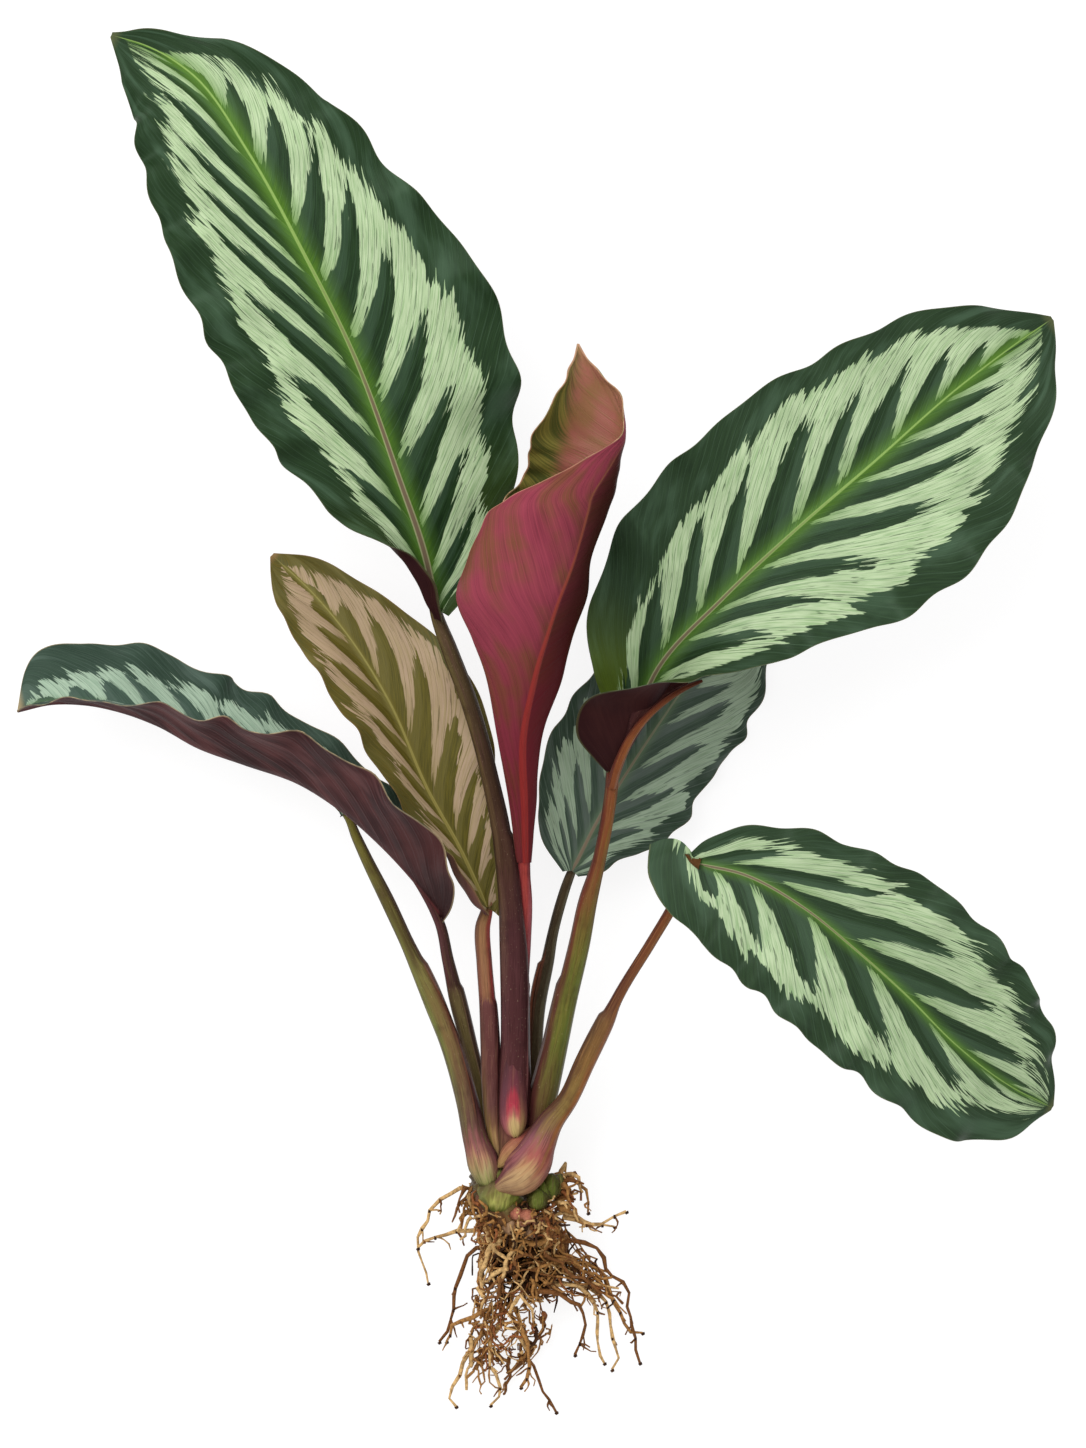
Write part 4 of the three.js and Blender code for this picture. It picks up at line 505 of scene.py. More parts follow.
SALMON_LOOK = dict(
    middle=((24, 0x8a6a50), (29, 0xa87a60), (34, 0xa86450)), left=((24, 0x7a5840), (34, 0x965848)),
    right=((24, 0x745038), (34, 0x8e5040)), streak=(0.45, 0xc89878), speck_and_shade=0x5c3424)
TAN_LOOK = dict(
    middle=((20, 0x7a5c40), (30, 0xa88868)), left=((20, 0x6a4c34), (30, 0x967658)),
    right=((20, 0x6a4c34), (30, 0x8e6c4e)), streak=(0.4, 0x6a4a32), speck_and_shade=0x4c3424)
# The midrib seen from behind where the broad blade's base turns over, and the web beside it
TURNED_RIB = ((36, 193, 49.5, 2, 1.9), (37.6, 199, 55, 1.9, 1.7), (44.6, 213.5, 61.5, 1.6, 1.4),
              (53, 222.5, 65, 1.3, 1), (63.4, 229.5, 66, 1, 0.8), (69.5, 232, 65, 0.5, 0.4))
TURNED_WEB = ((39, 204, 56, 0.5, 0.3), (42.6, 213, 60.5, 1.2, 0.35), (46.6, 221, 62.5, 3, 0.4),
              (51, 225.4, 62.5, 3.8, 0.4), (57.5, 229, 62, 3, 0.4), (64, 231.8, 61, 0.8, 0.3))
# The swollen base of the middle sheath with the red tip of the young shoot, and the sheath under it
BUD_BASE = ((0.4, 62.4, 36.6, 1.4, 1.2), (0.1, 64, 37, 3.2, 2.2), (-0.3, 67.5, 37.6, 4.7, 3),
            (-0.5, 72, 38, 5.1, 3.1), (-0.6, 77, 37.8, 5, 2.8), (-0.5, 83, 37.4, 4.6, 2.2),
            (-0.3, 90, 37.2, 3.8, 1.6), (0, 98, 37.4, 2, 0.6))
WEDGE = ((-6.2, 51, 34.6, 0.6, 0.6), (-4.6, 52.6, 35.6, 2.2, 1.6), (-1.8, 55.4, 36.6, 3.9, 2.3),
         (1.6, 58.6, 36.2, 4.2, 2.4), (5, 61.6, 35, 3.6, 2), (9, 66, 33, 1.8, 1))
# The rhizome's body
RHIZOME_BODY = ((-4, 50.5, 22, 5, 5), (-4.6, 49, 23, 9, 9), (-5, 45.5, 24, 11.2, 10.6),
                (-5.2, 40, 24.2, 10.6, 10.6), (-4, 35, 23.5, 9.6, 10), (-2.5, 31, 22.5, 7.5, 8.5),
                (-2, 29, 22, 4, 4))
# Lumps on the crown as (centre, radius, how much longer they are up the plant, look)
CROWN_LUMPS = (
    ((-6, 40.6, 29.5), 8.4, 0.86, GREEN_LOOK), ((-11.6, 42.5, 28), 4.4, 1.1, RHIZOME_LOOK),
    ((8.6, 38.9, 32.4), 4.1, 1.0, GREEN_BUD_LOOK), ((13.4, 43.6, 29.6), 3.5, 1.45, GREEN_BUD_LOOK),
    ((10.6, 41.5, 30.6), 3.2, 1.3, GREEN_BUD_LOOK), ((16.4, 44.2, 27), 2.8, 1.5, RHIZOME_LOOK),
    ((0.6, 33.6, 32), 2.6, 1.0, SALMON_LOOK), ((4.6, 32.6, 32.4), 3.3, 0.85, SALMON_LOOK),
    ((8.4, 30.6, 30.6), 2.6, 0.8, SALMON_LOOK), ((2.8, 30.4, 31.6), 2.4, 0.8, SALMON_LOOK),
    ((-1.8, 28.6, 30.6), 3, 1.0, TAN_LOOK), ((-4.2, 32, 30.6), 2.4, 0.9, RHIZOME_LOOK),
    ((5.6, 27, 29), 2.6, 1.3, TAN_LOOK), ((-10.5, 33, 27), 3, 1.2, RHIZOME_LOOK),
)

BLADE_THICKNESS = 0.7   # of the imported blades, which the seats are worked out from
RIB_DEPTH = 1.5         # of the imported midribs
SEAT_GAP = 0.3
PETIOLE_SIDES = 8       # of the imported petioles
LAYER_STEP = 3.2        # between the layers of the rolled blade
CREASE_BY = 0.12        # share of a half's width in which it folds up
FOLD_STEPS = 24
CURVE_SAMPLES = 1500
VEIN_ROUNDS = 30        # that bring the place where a vein leaves the midrib near enough
LOWEST_SURFACE = 0.6


def colour(code):
    """The linear colour of a 0xRRGGBB code."""
    parts = [(code >> shift & 255) / 255 for shift in (16, 8, 0)]
    return tuple(p / 12.92 if p <= 0.04045 else ((p + 0.055) / 1.055) ** 2.4 for p in parts) + (1.0,)


def smooth_step(low, high, value):
    u = np.clip((value - low) / (high - low), 0, 1)
    return u * u * (3 - 2 * u)


def unit(vectors):
    return vectors / np.linalg.norm(vectors, axis=1)[:, None]


def along(stations, place):
    """Smooth values at an array of places along stations of (place, value)."""
    places = np.array([station[0] for station in stations], float)
    values = np.array([station[1] for station in stations], float)
    single = values.ndim == 1
    values = values.reshape(len(places), -1)
    before = np.maximum(np.arange(len(places)) - 1, 0)
    after = np.minimum(np.arange(len(places)) + 1, len(places) - 1)
    slopes = (values[after] - values[before]) / (places[after] - places[before])[:, None]
    i = np.clip(np.searchsorted(places, place) - 1, 0, len(places) - 2)
    span = (places[i + 1] - places[i])[:, None]
    u = (place - places[i])[:, None] / span
    result = ((2 * u**3 - 3 * u**2 + 1) * values[i] + (u**3 - 2 * u**2 + u) * span * slopes[i]
              + (3 * u**2 - 2 * u**3) * values[i + 1] + (u**3 - u**2) * span * slopes[i + 1])
    return result[:, 0] if single else result


class Curve:
    """A smooth curve through points, read by the share of its length."""

    def __init__(self, points):
        points = np.array(points, float)
        ends = (2 * points[0] - points[1], 2 * points[-1] - points[-2])
        knots = np.vstack([ends[0], points, ends[1]])
        share = np.linspace(0, len(points) - 1, CURVE_SAMPLES)
        i = np.minimum(share.astype(int), len(points) - 2)
        u = (share - i)[:, None]
        p0, p1, p2, p3 = (knots[i + k] for k in range(4))
        pairs = ((p0, p1), (p1, p2), (p2, p3))
        step0, step1, step2 = (np.linalg.norm(b - a, axis=1)[:, None] for a, b in pairs)
        start = ((p1 - p0) / step0 - (p2 - p0) / (step0 + step1) + (p2 - p1) / step1) * step1
        end = ((p2 - p1) / step1 - (p3 - p1) / (step1 + step2) + (p3 - p2) / step2) * step1
        self.points = (p1 + start * u + (3 * (p2 - p1) - 2 * start - end) * u**2
                       + (2 * (p1 - p2) + start + end) * u**3)
        steps = np.linalg.norm(np.diff(self.points, axis=0), axis=1)
        self.length = steps.sum()
        self.shares = np.concatenate([[0], np.cumsum(steps)]) / self.length
        self.directions = unit(np.gradient(self.points, axis=0))

    def read(self, place):
        """Points and unit directions at an array of places."""
        point, direction = (
            np.stack([np.interp(place, self.shares, table[:, axis]) for axis in range(3)], 1)
            for table in (self.points, self.directions))
        return point, unit(direction)


MIDRIBS = {name: Curve(blade["midrib"]) for name, blade in BLADES.items()}


def midrib_frame(name, place):
    """The midrib's points, its directions and the way the upper side faces."""
    origin, tangent = MIDRIBS[name].read(place)
    facing = along(BLADES[name].get("facing", FACING_UP), place)
    facing -= tangent * np.sum(facing * tangent, axis=1)[:, None]
    return origin, tangent, unit(facing)


def blade_points(name, place, side):
    """Points of a blade's upper side."""
    blade = BLADES[name]
    ripple = 0.25 * blade["wave_height"]
    origin, tangent, facing = midrib_frame(name, place)
    right = np.cross(tangent, facing)
    points = np.empty((len(place), 3))
    for sign, shape in ((-1, blade["left"]), (1, blade["right"])):
        mine = side < 0 if sign < 0 else side >= 0
        t, out = place[mine], np.abs(side[mine])
        crease = np.radians(along(shape["crease"], t))
        roll = np.radians(along(shape["roll"], t))

        def angle_at(x):
            rolled = smooth_step(shape["roll_from"], shape["roll_by"], x)
            return crease * smooth_step(0, CREASE_BY, x) + roll * rolled

        angles = [angle_at(out * (i + 0.5) / FOLD_STEPS) for i in range(FOLD_STEPS)]
        across = sum(np.cos(angle) for angle in angles) * out / FOLD_STEPS
        up = sum(np.sin(angle) for angle in angles) * out / FOLD_STEPS
        margin_angle = angle_at(out)
        ends = smooth_step(0, 0.15, t) * smooth_step(1, 0.9, t)
        turns = TURN * (shape["waves"] * t + shape["phase"])
        wave = out**3 * ends * (blade["wave_height"] * np.sin(turns) + ripple * np.sin(1.9 * turns + 1))
        scallop = out**3 * ends * (0.6 * np.sin(turns + 0.8) + 0.5 * np.sin(1.37 * turns + 2))
        width = along(shape["width"], t) + scallop * blade["scallop"]
        sweep = along(shape["sweep"], t) * out**1.3
        bulge = shape["lobe"] * 4 * out * (1 - out) * smooth_step(0.06, 0, t)
        outward = across * width - wave * np.sin(margin_angle)
        upward = up * width + wave * np.cos(margin_angle)
        points[mine] = (origin[mine] + sign * right[mine] * outward[:, None]
                        + facing[mine] * upward[:, None] + tangent[mine] * sweep[:, None])
        points[mine] -= sign * right[mine] * bulge[:, None]
        points[mine, :2] += along(shape["shift"], t) * (out**1.5)[:, None]
    return points


def rolled_points(place, side):
    """Points of the rolled blade's outer side, which is its underside."""
    last = len(ROLLED_LEAF) - 1
    stations = [(i / last, ring) for i, ring in enumerate(ROLLED_LEAF)]
    x, y, z, half_width, half_depth, midrib, outer, inner = along(stations, place).T
    degrees = midrib + side * np.where(side < 0, midrib - outer, inner - midrib)
    turn = (degrees - outer) / 360
    tuck = LAYER_STEP * smooth_step(0.3, 1.2, turn) * np.minimum(1, half_depth / 9)
    angle = np.radians(degrees)
    return np.stack([x + (half_width - tuck) * np.sin(angle), y,
                     z + (half_depth - tuck) * np.cos(angle)], 1)


def vein_field(name, half_name, place, out):
    """place0 of the vein through each point, the stripe coordinate, the zone and the pale zone's end.

    The zone runs from 0 at the midrib over 1 where the pale bands start to 2 where the dark stripes end.
    """
    stripes = STRIPES[name][half_name]
    lean_places, leans = np.array(stripes["lean"], float).T
    bent = out ** stripes.get("bow", 1)
    place0 = place.copy()
    for _ in range(VEIN_ROUNDS):
        place0 = 0.5 * place0 + 0.5 * (place - np.interp(place0, lean_places, leans) * bent)
    bands = np.array(stripes["bands"])
    steps = np.diff(bands)
    stripe = np.interp(place0, bands, np.arange(len(bands), dtype=float))
    stripe += np.minimum(place0 - bands[0], 0) / steps[0] + np.maximum(place0 - bands[-1], 0) / steps[-1]
    pale_from, dark_to, pale_to = (
        np.interp(place0, *np.array(stripes[key], float).T) for key in ("pale_from", "dark_to", "pale_to"))
    zone = np.where(out < pale_from, out / pale_from,
                    1 + (out - pale_from) / np.maximum(dark_to - pale_from, 0.02))
    return place0, stripe, zone, pale_to


def deselect():
    if bpy.context.object and bpy.context.object.mode != "OBJECT":
        bpy.ops.object.mode_set(mode="OBJECT")
    bpy.ops.object.select_all(action="DESELECT")


def name_piece(name):
    piece = bpy.context.object
    piece.name = name
    piece.data.name = name
    return piece


def vertex_array(mesh):
    points = np.empty(len(mesh.vertices) * 3)
    mesh.vertices.foreach_get("co", points)
    return points.reshape(-1, 3)


def move_vertices(mesh, points_mm):
    mesh.vertices.foreach_set("co", (points_mm * MM).ravel())
    mesh.update()


def corner_tables(mesh):
    """The vertex of each face corner, and the face that the corner belongs to."""
    vertices = np.empty(len(mesh.loops), np.int64)
    mesh.loops.foreach_get("vertex_index", vertices)
    totals = np.empty(len(mesh.polygons), np.int64)
    mesh.polygons.foreach_get("loop_total", totals)
    return vertices, np.repeat(np.arange(len(totals)), totals)


def write_uv(mesh, name, u, v):
    mesh.uv_layers.new(name=name).data.foreach_set("uv", np.stack([u, v], 1).ravel())


def smooth_by(degrees):
    bpy.ops.object.shade_smooth_by_angle(angle=math.radians(degrees))


def dress(piece, slot, *nodes):
    """The piece rides on the plant and stands for its nodes; slot is not used."""
    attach(piece, BODY)
    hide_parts(*nodes)


def join_into(piece, others):
    deselect()
    for other in (*others, piece):
        other.select_set(True)
    bpy.context.view_layer.objects.active = piece
    bpy.ops.object.join()


def surface_normals(points, order):
    """Unit normals of a grid surface, from the steps between neighbours. order is its vertices by row."""
    table = points[order]
    normals = np.cross(np.gradient(table, axis=1), np.gradient(table, axis=0))
    normals /= np.maximum(np.linalg.norm(normals, axis=2), 1e-9)[..., None]
    result = np.empty_like(points)
    result[order] = normals
    return result


class Sheet:
    """A blade as a sheet, with its points, its normals and its maps of stripes and grain.

    surface(place, side) gives the points, rib_length is the midrib's, and widths(half_name, place) gives
    the widths of a half.
    """

    def __init__(self, leaf, grid, surface, rib_length, widths):
        deselect()
        bpy.ops.mesh.primitive_grid_add(
            x_subdivisions=grid[1], y_subdivisions=grid[0], size=2, calc_uvs=False)
        self.piece = name_piece("leaf_" + leaf)
        raw = vertex_array(self.piece.data)
        keys = np.round(raw, 5)
        order = np.lexsort((keys[:, 0], keys[:, 1])).reshape(len(np.unique(keys[:, 1])), -1)
        share = (raw[:, 1] + 1) / 2
        # The rows lie closer toward both ends, and the columns toward the midrib
        self.place = place = np.clip(share - 0.5 * np.sin(TURN * share) / TURN, 0, 1)
        self.side = np.sign(raw[:, 0]) * (0.7 * raw[:, 0]**2 + 0.3 * np.abs(raw[:, 0]))
        self.side[np.abs(raw[:, 0]) < 1e-6] = 0
        self.out = out = np.abs(self.side)
        self.maps = []
        for half_name, sign, first_stripe, first_grain in (("left", -1, 0, 0), ("right", 1, 40, 300)):
            width = widths(half_name, place)
            place0, stripe, zone, pale_to = vein_field(leaf, half_name, place, out)
            self.maps.append({
                "veins": (stripe + first_stripe, zone),
                "grain": (place0 * rib_length * 0.45 + first_grain,
                          np.hypot(out * width, (place - place0) * rib_length)),
                "place": (place, sign * out * np.maximum(width, 9)),
                "edge": ((out - pale_to) * width,
                         (1 - out) * np.maximum(width, 12 * smooth_step(0.1, 0, place))),
            })
        self.points = surface(place, self.side)
        self.normals = surface_normals(self.points, order)
        self.from_rib = np.where(self.side < 0, widths("left", place), widths("right", place)) * out

    def quilt(self, relief):
        """The swelling between the side veins, as high as relief."""
        stripe = np.where(self.side < 0, self.maps[0]["veins"][0], self.maps[1]["veins"][0])
        return (relief * np.cos(TURN * stripe)
                * smooth_step(0.05, 0.25, self.out) * smooth_step(1, 0.75, self.out)
                * smooth_step(0, 0.08, self.place) * smooth_step(1, 0.9, self.place))

    def finish(self, lift, thickness, materials):
        """Lifts the surface, writes the maps and gives the sheet its thickness behind it, in millimetres."""
        points = self.points + self.normals * lift[:, None]
        points[:, 2] = np.maximum(points[:, 2], LOWEST_SURFACE)
        piece, mesh = self.piece, self.piece.data
        move_vertices(mesh, points)
        vertices, faces = corner_tables(mesh)
        left = np.bincount(faces, self.side[vertices])[faces] < 0
        for layer in self.maps[0]:
            write_uv(mesh, layer, *(np.where(left, a[vertices], b[vertices])
                                    for a, b in zip(self.maps[0][layer], self.maps[1][layer])))
        most = thickness.max()
        levels = np.round(thickness / most, 3)
        group = piece.vertex_groups.new(name="thickness")
        for level in np.unique(levels):
            group.add(np.nonzero(levels == level)[0].tolist(), float(level), "REPLACE")
        for material in materials:
            mesh.materials.append(material)
        solid = piece.modifiers.new("Thickness", "SOLIDIFY")
        solid.thickness = most * MM
        solid.offset = -1
        solid.vertex_group = "thickness"
        solid.material_offset = 1
        solid.material_offset_rim = 2
        bpy.ops.object.modifier_apply(modifier=solid.name)
        piece.vertex_groups.clear()
        smooth_by(50)
        return piece


def around(angle):
    """The same angle between half a turn back and half a turn on."""
    return (angle + math.pi) % TURN - math.pi


def new_tube(name, sides, rings, stations, look, swell, slit=None, blur=1.0):
    """A tube of rings along stations of centre, half width and half depth, with its maps and its skin.

    swell(place, height, angle) is added to both, and height is the centre line's millimetres up the
    plant. slit(height) is the angle of a sheath's free edge. blur is how far the colours run into each
    other. Map "along" holds the height in metres and the turn from the slit, "round" the way the skin
    faces.
    """
    deselect()
    bpy.ops.mesh.primitive_cylinder_add(
        vertices=sides, radius=1, depth=2, end_fill_type="NGON", calc_uvs=False)
    piece = name_piece(name)
    mesh = piece.data
    heights = [[mesh.vertices[end].co.z for end in edge.vertices] for edge in mesh.edges]
    bpy.ops.object.mode_set(mode="EDIT")
    bpy.ops.mesh.select_mode(type="EDGE")
    bpy.ops.mesh.select_all(action="DESELECT")
    bpy.ops.object.mode_set(mode="OBJECT")
    mesh.edges.foreach_set("select", [abs(low - high) > 1 for low, high in heights])
    bpy.ops.object.mode_set(mode="EDIT")
    bpy.ops.mesh.subdivide(number_cuts=rings - 1)
    bpy.ops.object.mode_set(mode="OBJECT")

    raw = vertex_array(mesh)
    place = (raw[:, 2] + 1) / 2
    angle = np.arctan2(raw[:, 1], raw[:, 0])
    stations = np.array(stations, float)
    steps = np.linalg.norm(np.diff(stations[:, :3], axis=0), axis=1)
    shares = np.concatenate([[0], np.cumsum(steps)]) / steps.sum()
    middle, tangent = Curve(stations[:, :3]).read(place)
    half_width, half_depth = along(list(zip(shares, stations[:, 3:])), place).T
    height = middle[:, 1]
    extra = swell(place, height, angle)
    side = unit(np.cross(tangent, (0, 0, 1)))
    front = np.cross(side, tangent)
    move_vertices(mesh, middle + side * ((half_width + extra) * np.cos(angle))[:, None]
                  + front * ((half_depth + extra) * np.sin(angle))[:, None])

    vertices, faces = corner_tables(mesh)
    sizes = np.bincount(faces)
    x, y = np.cos(angle), np.sin(angle)
    middle_x, middle_y, middle_height = (
        np.bincount(faces, table[vertices]) / sizes for table in (x, y, height))
    middle_angle = np.arctan2(middle_y, middle_x)
    edge, middle_edge = (slit(height), slit(middle_height)) if slit else (0 * height, 0 * middle_height)
    here = around(angle[vertices] - middle_angle[faces]) - (edge[vertices] - middle_edge[faces])
    write_uv(mesh, "along", height[vertices] * MM, (around(middle_angle - middle_edge)[faces] + here) / TURN)
    write_uv(mesh, "round", x[vertices], y[vertices])
    mesh.materials.append(stem_surface("skin_" + name, look, blur))
    return piece


def rgb(shade):
    """The colour of a 0xRRGGBB code, a grey or a swatch."""
    if isinstance(shade, int):
        return colour(shade)
    return (shade, shade, shade, 1) if isinstance(shade, float) else (*shade[:3], 1)


class Value:
    """A node's output, on which arithmetic adds the nodes that work it out."""

    def __init__(self, shader, socket):
        self.shader = shader
        self.socket = socket

    def __add__(self, other):
        return self.shader.math("ADD", self, other)

    def __sub__(self, other):
        return self.shader.math("SUBTRACT", self, other)

    def __rsub__(self, other):
        return self.shader.math("SUBTRACT", other, self)

    def __mul__(self, other):
        return self.shader.math("MULTIPLY", self, other)

    def __abs__(self):
        return self.shader.math("ABSOLUTE", self)

    def fract(self):
        return self.shader.math("FRACT", self)

    def wave(self, count=1):
        """The cosine of that many turns for each unit."""
        return self.shader.math("COSINE", self * (TURN * count))

    def soft(self, low, high):
        """0 where the value is under low, 1 where it is over high."""
        return self.shader.add("MapRange", "Result", interpolation_type="SMOOTHSTEP", clamp=True,
                               inputs={"Value": self, "From Min": low, "From Max": high})


class Shader:
    """A material under construction, whose methods add nodes and give back their values."""

    def __init__(self, name):
        self.material = bpy.data.materials.new(name)
        self.material.use_nodes = True
        self.tree = self.material.node_tree

    def feed(self, socket, value):
        if isinstance(value, Value):
            self.tree.links.new(value.socket, socket)
        else:
            socket.default_value = rgb(value) if socket.type == "RGBA" else value

    def add(self, kind, output=0, inputs=(), **settings):
        """The output of a new node. inputs holds values by the sockets' names or numbers."""
        node = self.tree.nodes.new("ShaderNode" + kind)
        for key, value in settings.items():
            setattr(node, key, value)
        for key, value in dict(inputs).items():
            self.feed(node.inputs[key], value)
        return Value(self, node.outputs[output])

    def paint(self, body, height=None, distance=0.0, **inputs):
        """Ends the material: its colour, its relief of distance metres from 0 to 1, and the rest."""
        surface = self.tree.nodes["Principled BSDF"].inputs
        for key, value in {"Base_Color": body, **inputs}.items():
            self.feed(surface[key.replace("_", " ")], value)
        if height:
            relief = {"Height": height, "Distance": distance, "Strength": 1.0}
            self.feed(surface["Normal"], self.add("Bump", inputs=relief))
        return self.material

    def math(self, operation, *values, clamp=False):
        return self.add("Math", operation=operation, use_clamp=clamp, inputs=enumerate(values))

    def layers(self, body, *coats):
        """Lays coats of (share, colour) over a colour, one after the other."""
        for share, coat in coats:
            body = self.add("Mix", 2, data_type="RGBA", inputs={0: share, 6: body, 7: coat})
        return body

    def ramp(self, value, stops):
        """Colour or grey by value, from stops of (value, colour or grey)."""
        low, high = stops[0][0], stops[-1][0]
        result = self.add("ValToRGB", inputs={0: self.math("DIVIDE", value - low, high - low, clamp=True)})
        elements = result.socket.node.color_ramp.elements
        for index, (at, shade) in enumerate(stops):
            place = (at - low) / (high - low)
            element = elements[index] if index < 2 else elements.new(place)
            element.position = place
            element.color = rgb(shade)
        return result

    def split(self, vector):
        node = self.add("SeparateXYZ", inputs={0: vector}).socket.node
        return [Value(self, output) for output in node.outputs]

    def uv(self, name):
        return self.split(self.add("UVMap", uv_map=name))[:2]

    def point(self):
        return self.add("TexCoord", "Object")

    def noise(self, vector, scale=1.0, detail=2.0):
        """Noise around 0.5."""
        return self.add("TexNoise", "Fac", inputs={"Vector": vector, "Scale": scale, "Detail": detail})

    def streaks(self, grain, shares, start=0.0, detail=2.0):
        """Noise over shares of two coordinates, drawn out along the second."""
        across, drawn_out = (value * share for value, share in zip(grain, shares))
        return self.noise(self.add("CombineXYZ", inputs={0: across, 1: drawn_out, 2: start}), detail=detail)


RIB_UNIT = 2.0    # millimetres that 1 stands for in a table of rib widths
RIB_WIDTHS = ((0.0, 0.9), (0.3, 0.6), (0.7, 0.25), (1.0, 0.1))
# How wide the dark stripes are by zone, as a share of the way from one to the next
STRIPE_WIDTHS = ((0.85, 0.5), (1.0, 0.43), (1.15, 0.355), (1.4, 0.3), (1.6, 0.26), (1.76, 0.2), (1.9, 0.11),
                 (2.0, 0.0))
# Strength of the bright green by millimetres from the midrib, where a look's reach is 1
GLOW = ((0.0, 0.85), (1.5, 0.6), (4.0, 0.2), (7.0, 0.0))
FOLD_LEAN = 0.187    # how far right the rolled blade's fold moves for each millimetre up the plant
FOLD_LEFT = 43.8     # millimetres left of the middle where that line starts
LIME = 0x6a7c1c
PINK_LINES = 0xa04652
CRIMSON = 0x601822
DUSKY_PINK = 0x9e5e52
TAWNY = 0x8e6242
DULL_OLIVE = 0x7a7038
PALE_DOTS = 0xc8b090
CREASE_SHADOW = 0x1c1010
ROOT_SOIL = 0x5c3818
PAPER = 0x8c8c8c
WARM_SHINE = (1.0, 0.55, 0.5)
COOL_SHINE = (0.75, 1.0, 0.8)


def upper_side(name, palette, margin_width, look):
    """A blade's patterned upper side."""
    shader = Shader(name)
    stripe, zone = shader.uv("veins")
    grain = shader.uv("grain")
    place, from_rib = shader.uv("place")
    past_pale, to_margin = shader.uv("edge")
    point = shader.point()
    coarse = shader.streaks(grain, (0.55, 0.05), detail=1.0)
    fine = shader.streaks(grain, (1.7, 0.08), 7.0)
    hair = shader.streaks(grain, (3.4, 0.1), 3.0)
    waves = shader.streaks(grain, (0.15, 0.035), 11.0, 3.0)
    blotch = shader.noise(point, 55.0, 3.0)
    lines = abs((grain[0] * 0.6).fract() - 0.5).soft(0.41, 0.49) * coarse.soft(0.3, 0.5)

    wobbled = stripe + (shader.noise(point, 35.0) - 0.5) * 0.12
    teeth = (coarse - 0.5) * 0.55 + (fine - 0.5) * 0.9
    half_width = shader.ramp(zone + teeth - look["blunt"], STRIPE_WIDTHS)
    dark = (half_width - abs(wobbled.fract() - 0.5)).soft(-0.015, 0.015)
    teeth_mm = (coarse - 0.5) * 8.0 + (fine - 0.5) * 12.0
    past = past_pale - wobbled.wave() * 1.3 + teeth_mm
    wanted = place.soft(0.72, 0.92) * look["tip"] + look["border"]
    least = wanted - to_margin + teeth_mm * 0.4
    border = shader.math("MAXIMUM", past, least).soft(-0.3, 0.3)

    slivers = (fine + zone * 0.02).soft(0.66, 0.7)
    pale = shader.layers(palette.pale, (hair.soft(0.35, 0.75), palette.pale_streak),
                         (lines * 0.55, palette.sheen), (slivers * 0.6, palette.stripe))
    sheen = (wobbled.fract() + fine * 0.25).soft(0.62, 0.75)
    green = shader.layers(palette.stripe, (hair.soft(0.3, 0.7), palette.stripe_streak),
                          (sheen * 0.4, palette.sheen), (lines * 0.35, palette.sheen))
    # The border, with painted highlights in the sheen colour along its waves
    edge = shader.layers(palette.border, (hair.soft(0.3, 0.7), palette.border_streak),
                         (waves.soft(0.46, 0.72) * 0.75, palette.sheen), (lines * 0.4, palette.sheen),
                         (place.soft(0.24, 0.06) * look["lime"], LIME))
    near_rib = abs(from_rib)
    glow = shader.ramp(near_rib * (1 / look["reach"]), GLOW)
    glow_colour = shader.layers(palette.glow, (hair.soft(0.3, 0.8), palette.glow_streak))
    start = (1.0 - dark) * zone.soft(1.5, 0.8)
    rib_width = shader.ramp(place, RIB_WIDTHS) * (RIB_UNIT * look["rib"])
    core = (near_rib - rib_width * 0.6).soft(0.15, -0.15)
    core_colour = shader.ramp(
        place, ((0.0, palette.rib_base), (0.3, palette.rib_base), (0.6, palette.rib_tip)))
    rib_colour = shader.layers(
        shader.ramp(place, ((0.2, palette.rib), (0.5, palette.rib_tip))), (core, core_colour))
    body = shader.layers(
        pale, (dark, green), (glow, glow_colour), (start * 0.6, glow_colour), (border, edge),
        (blotch.soft(0.35, 0.7) * 0.15, palette.border),
        ((near_rib - rib_width).soft(0.2, -0.1), rib_colour),
        (to_margin.soft(margin_width / MM, 0.1) * 0.7, palette.margin), look["tone"],
        (place.soft(0.98, 0.998) * 0.8, palette.margin))
    return shader.paint(body, hair * 0.6 + lines * 0.3, 0.00015, Roughness=0.4, Specular_IOR_Level=0.15,
                        Specular_Tint=COOL_SHINE)


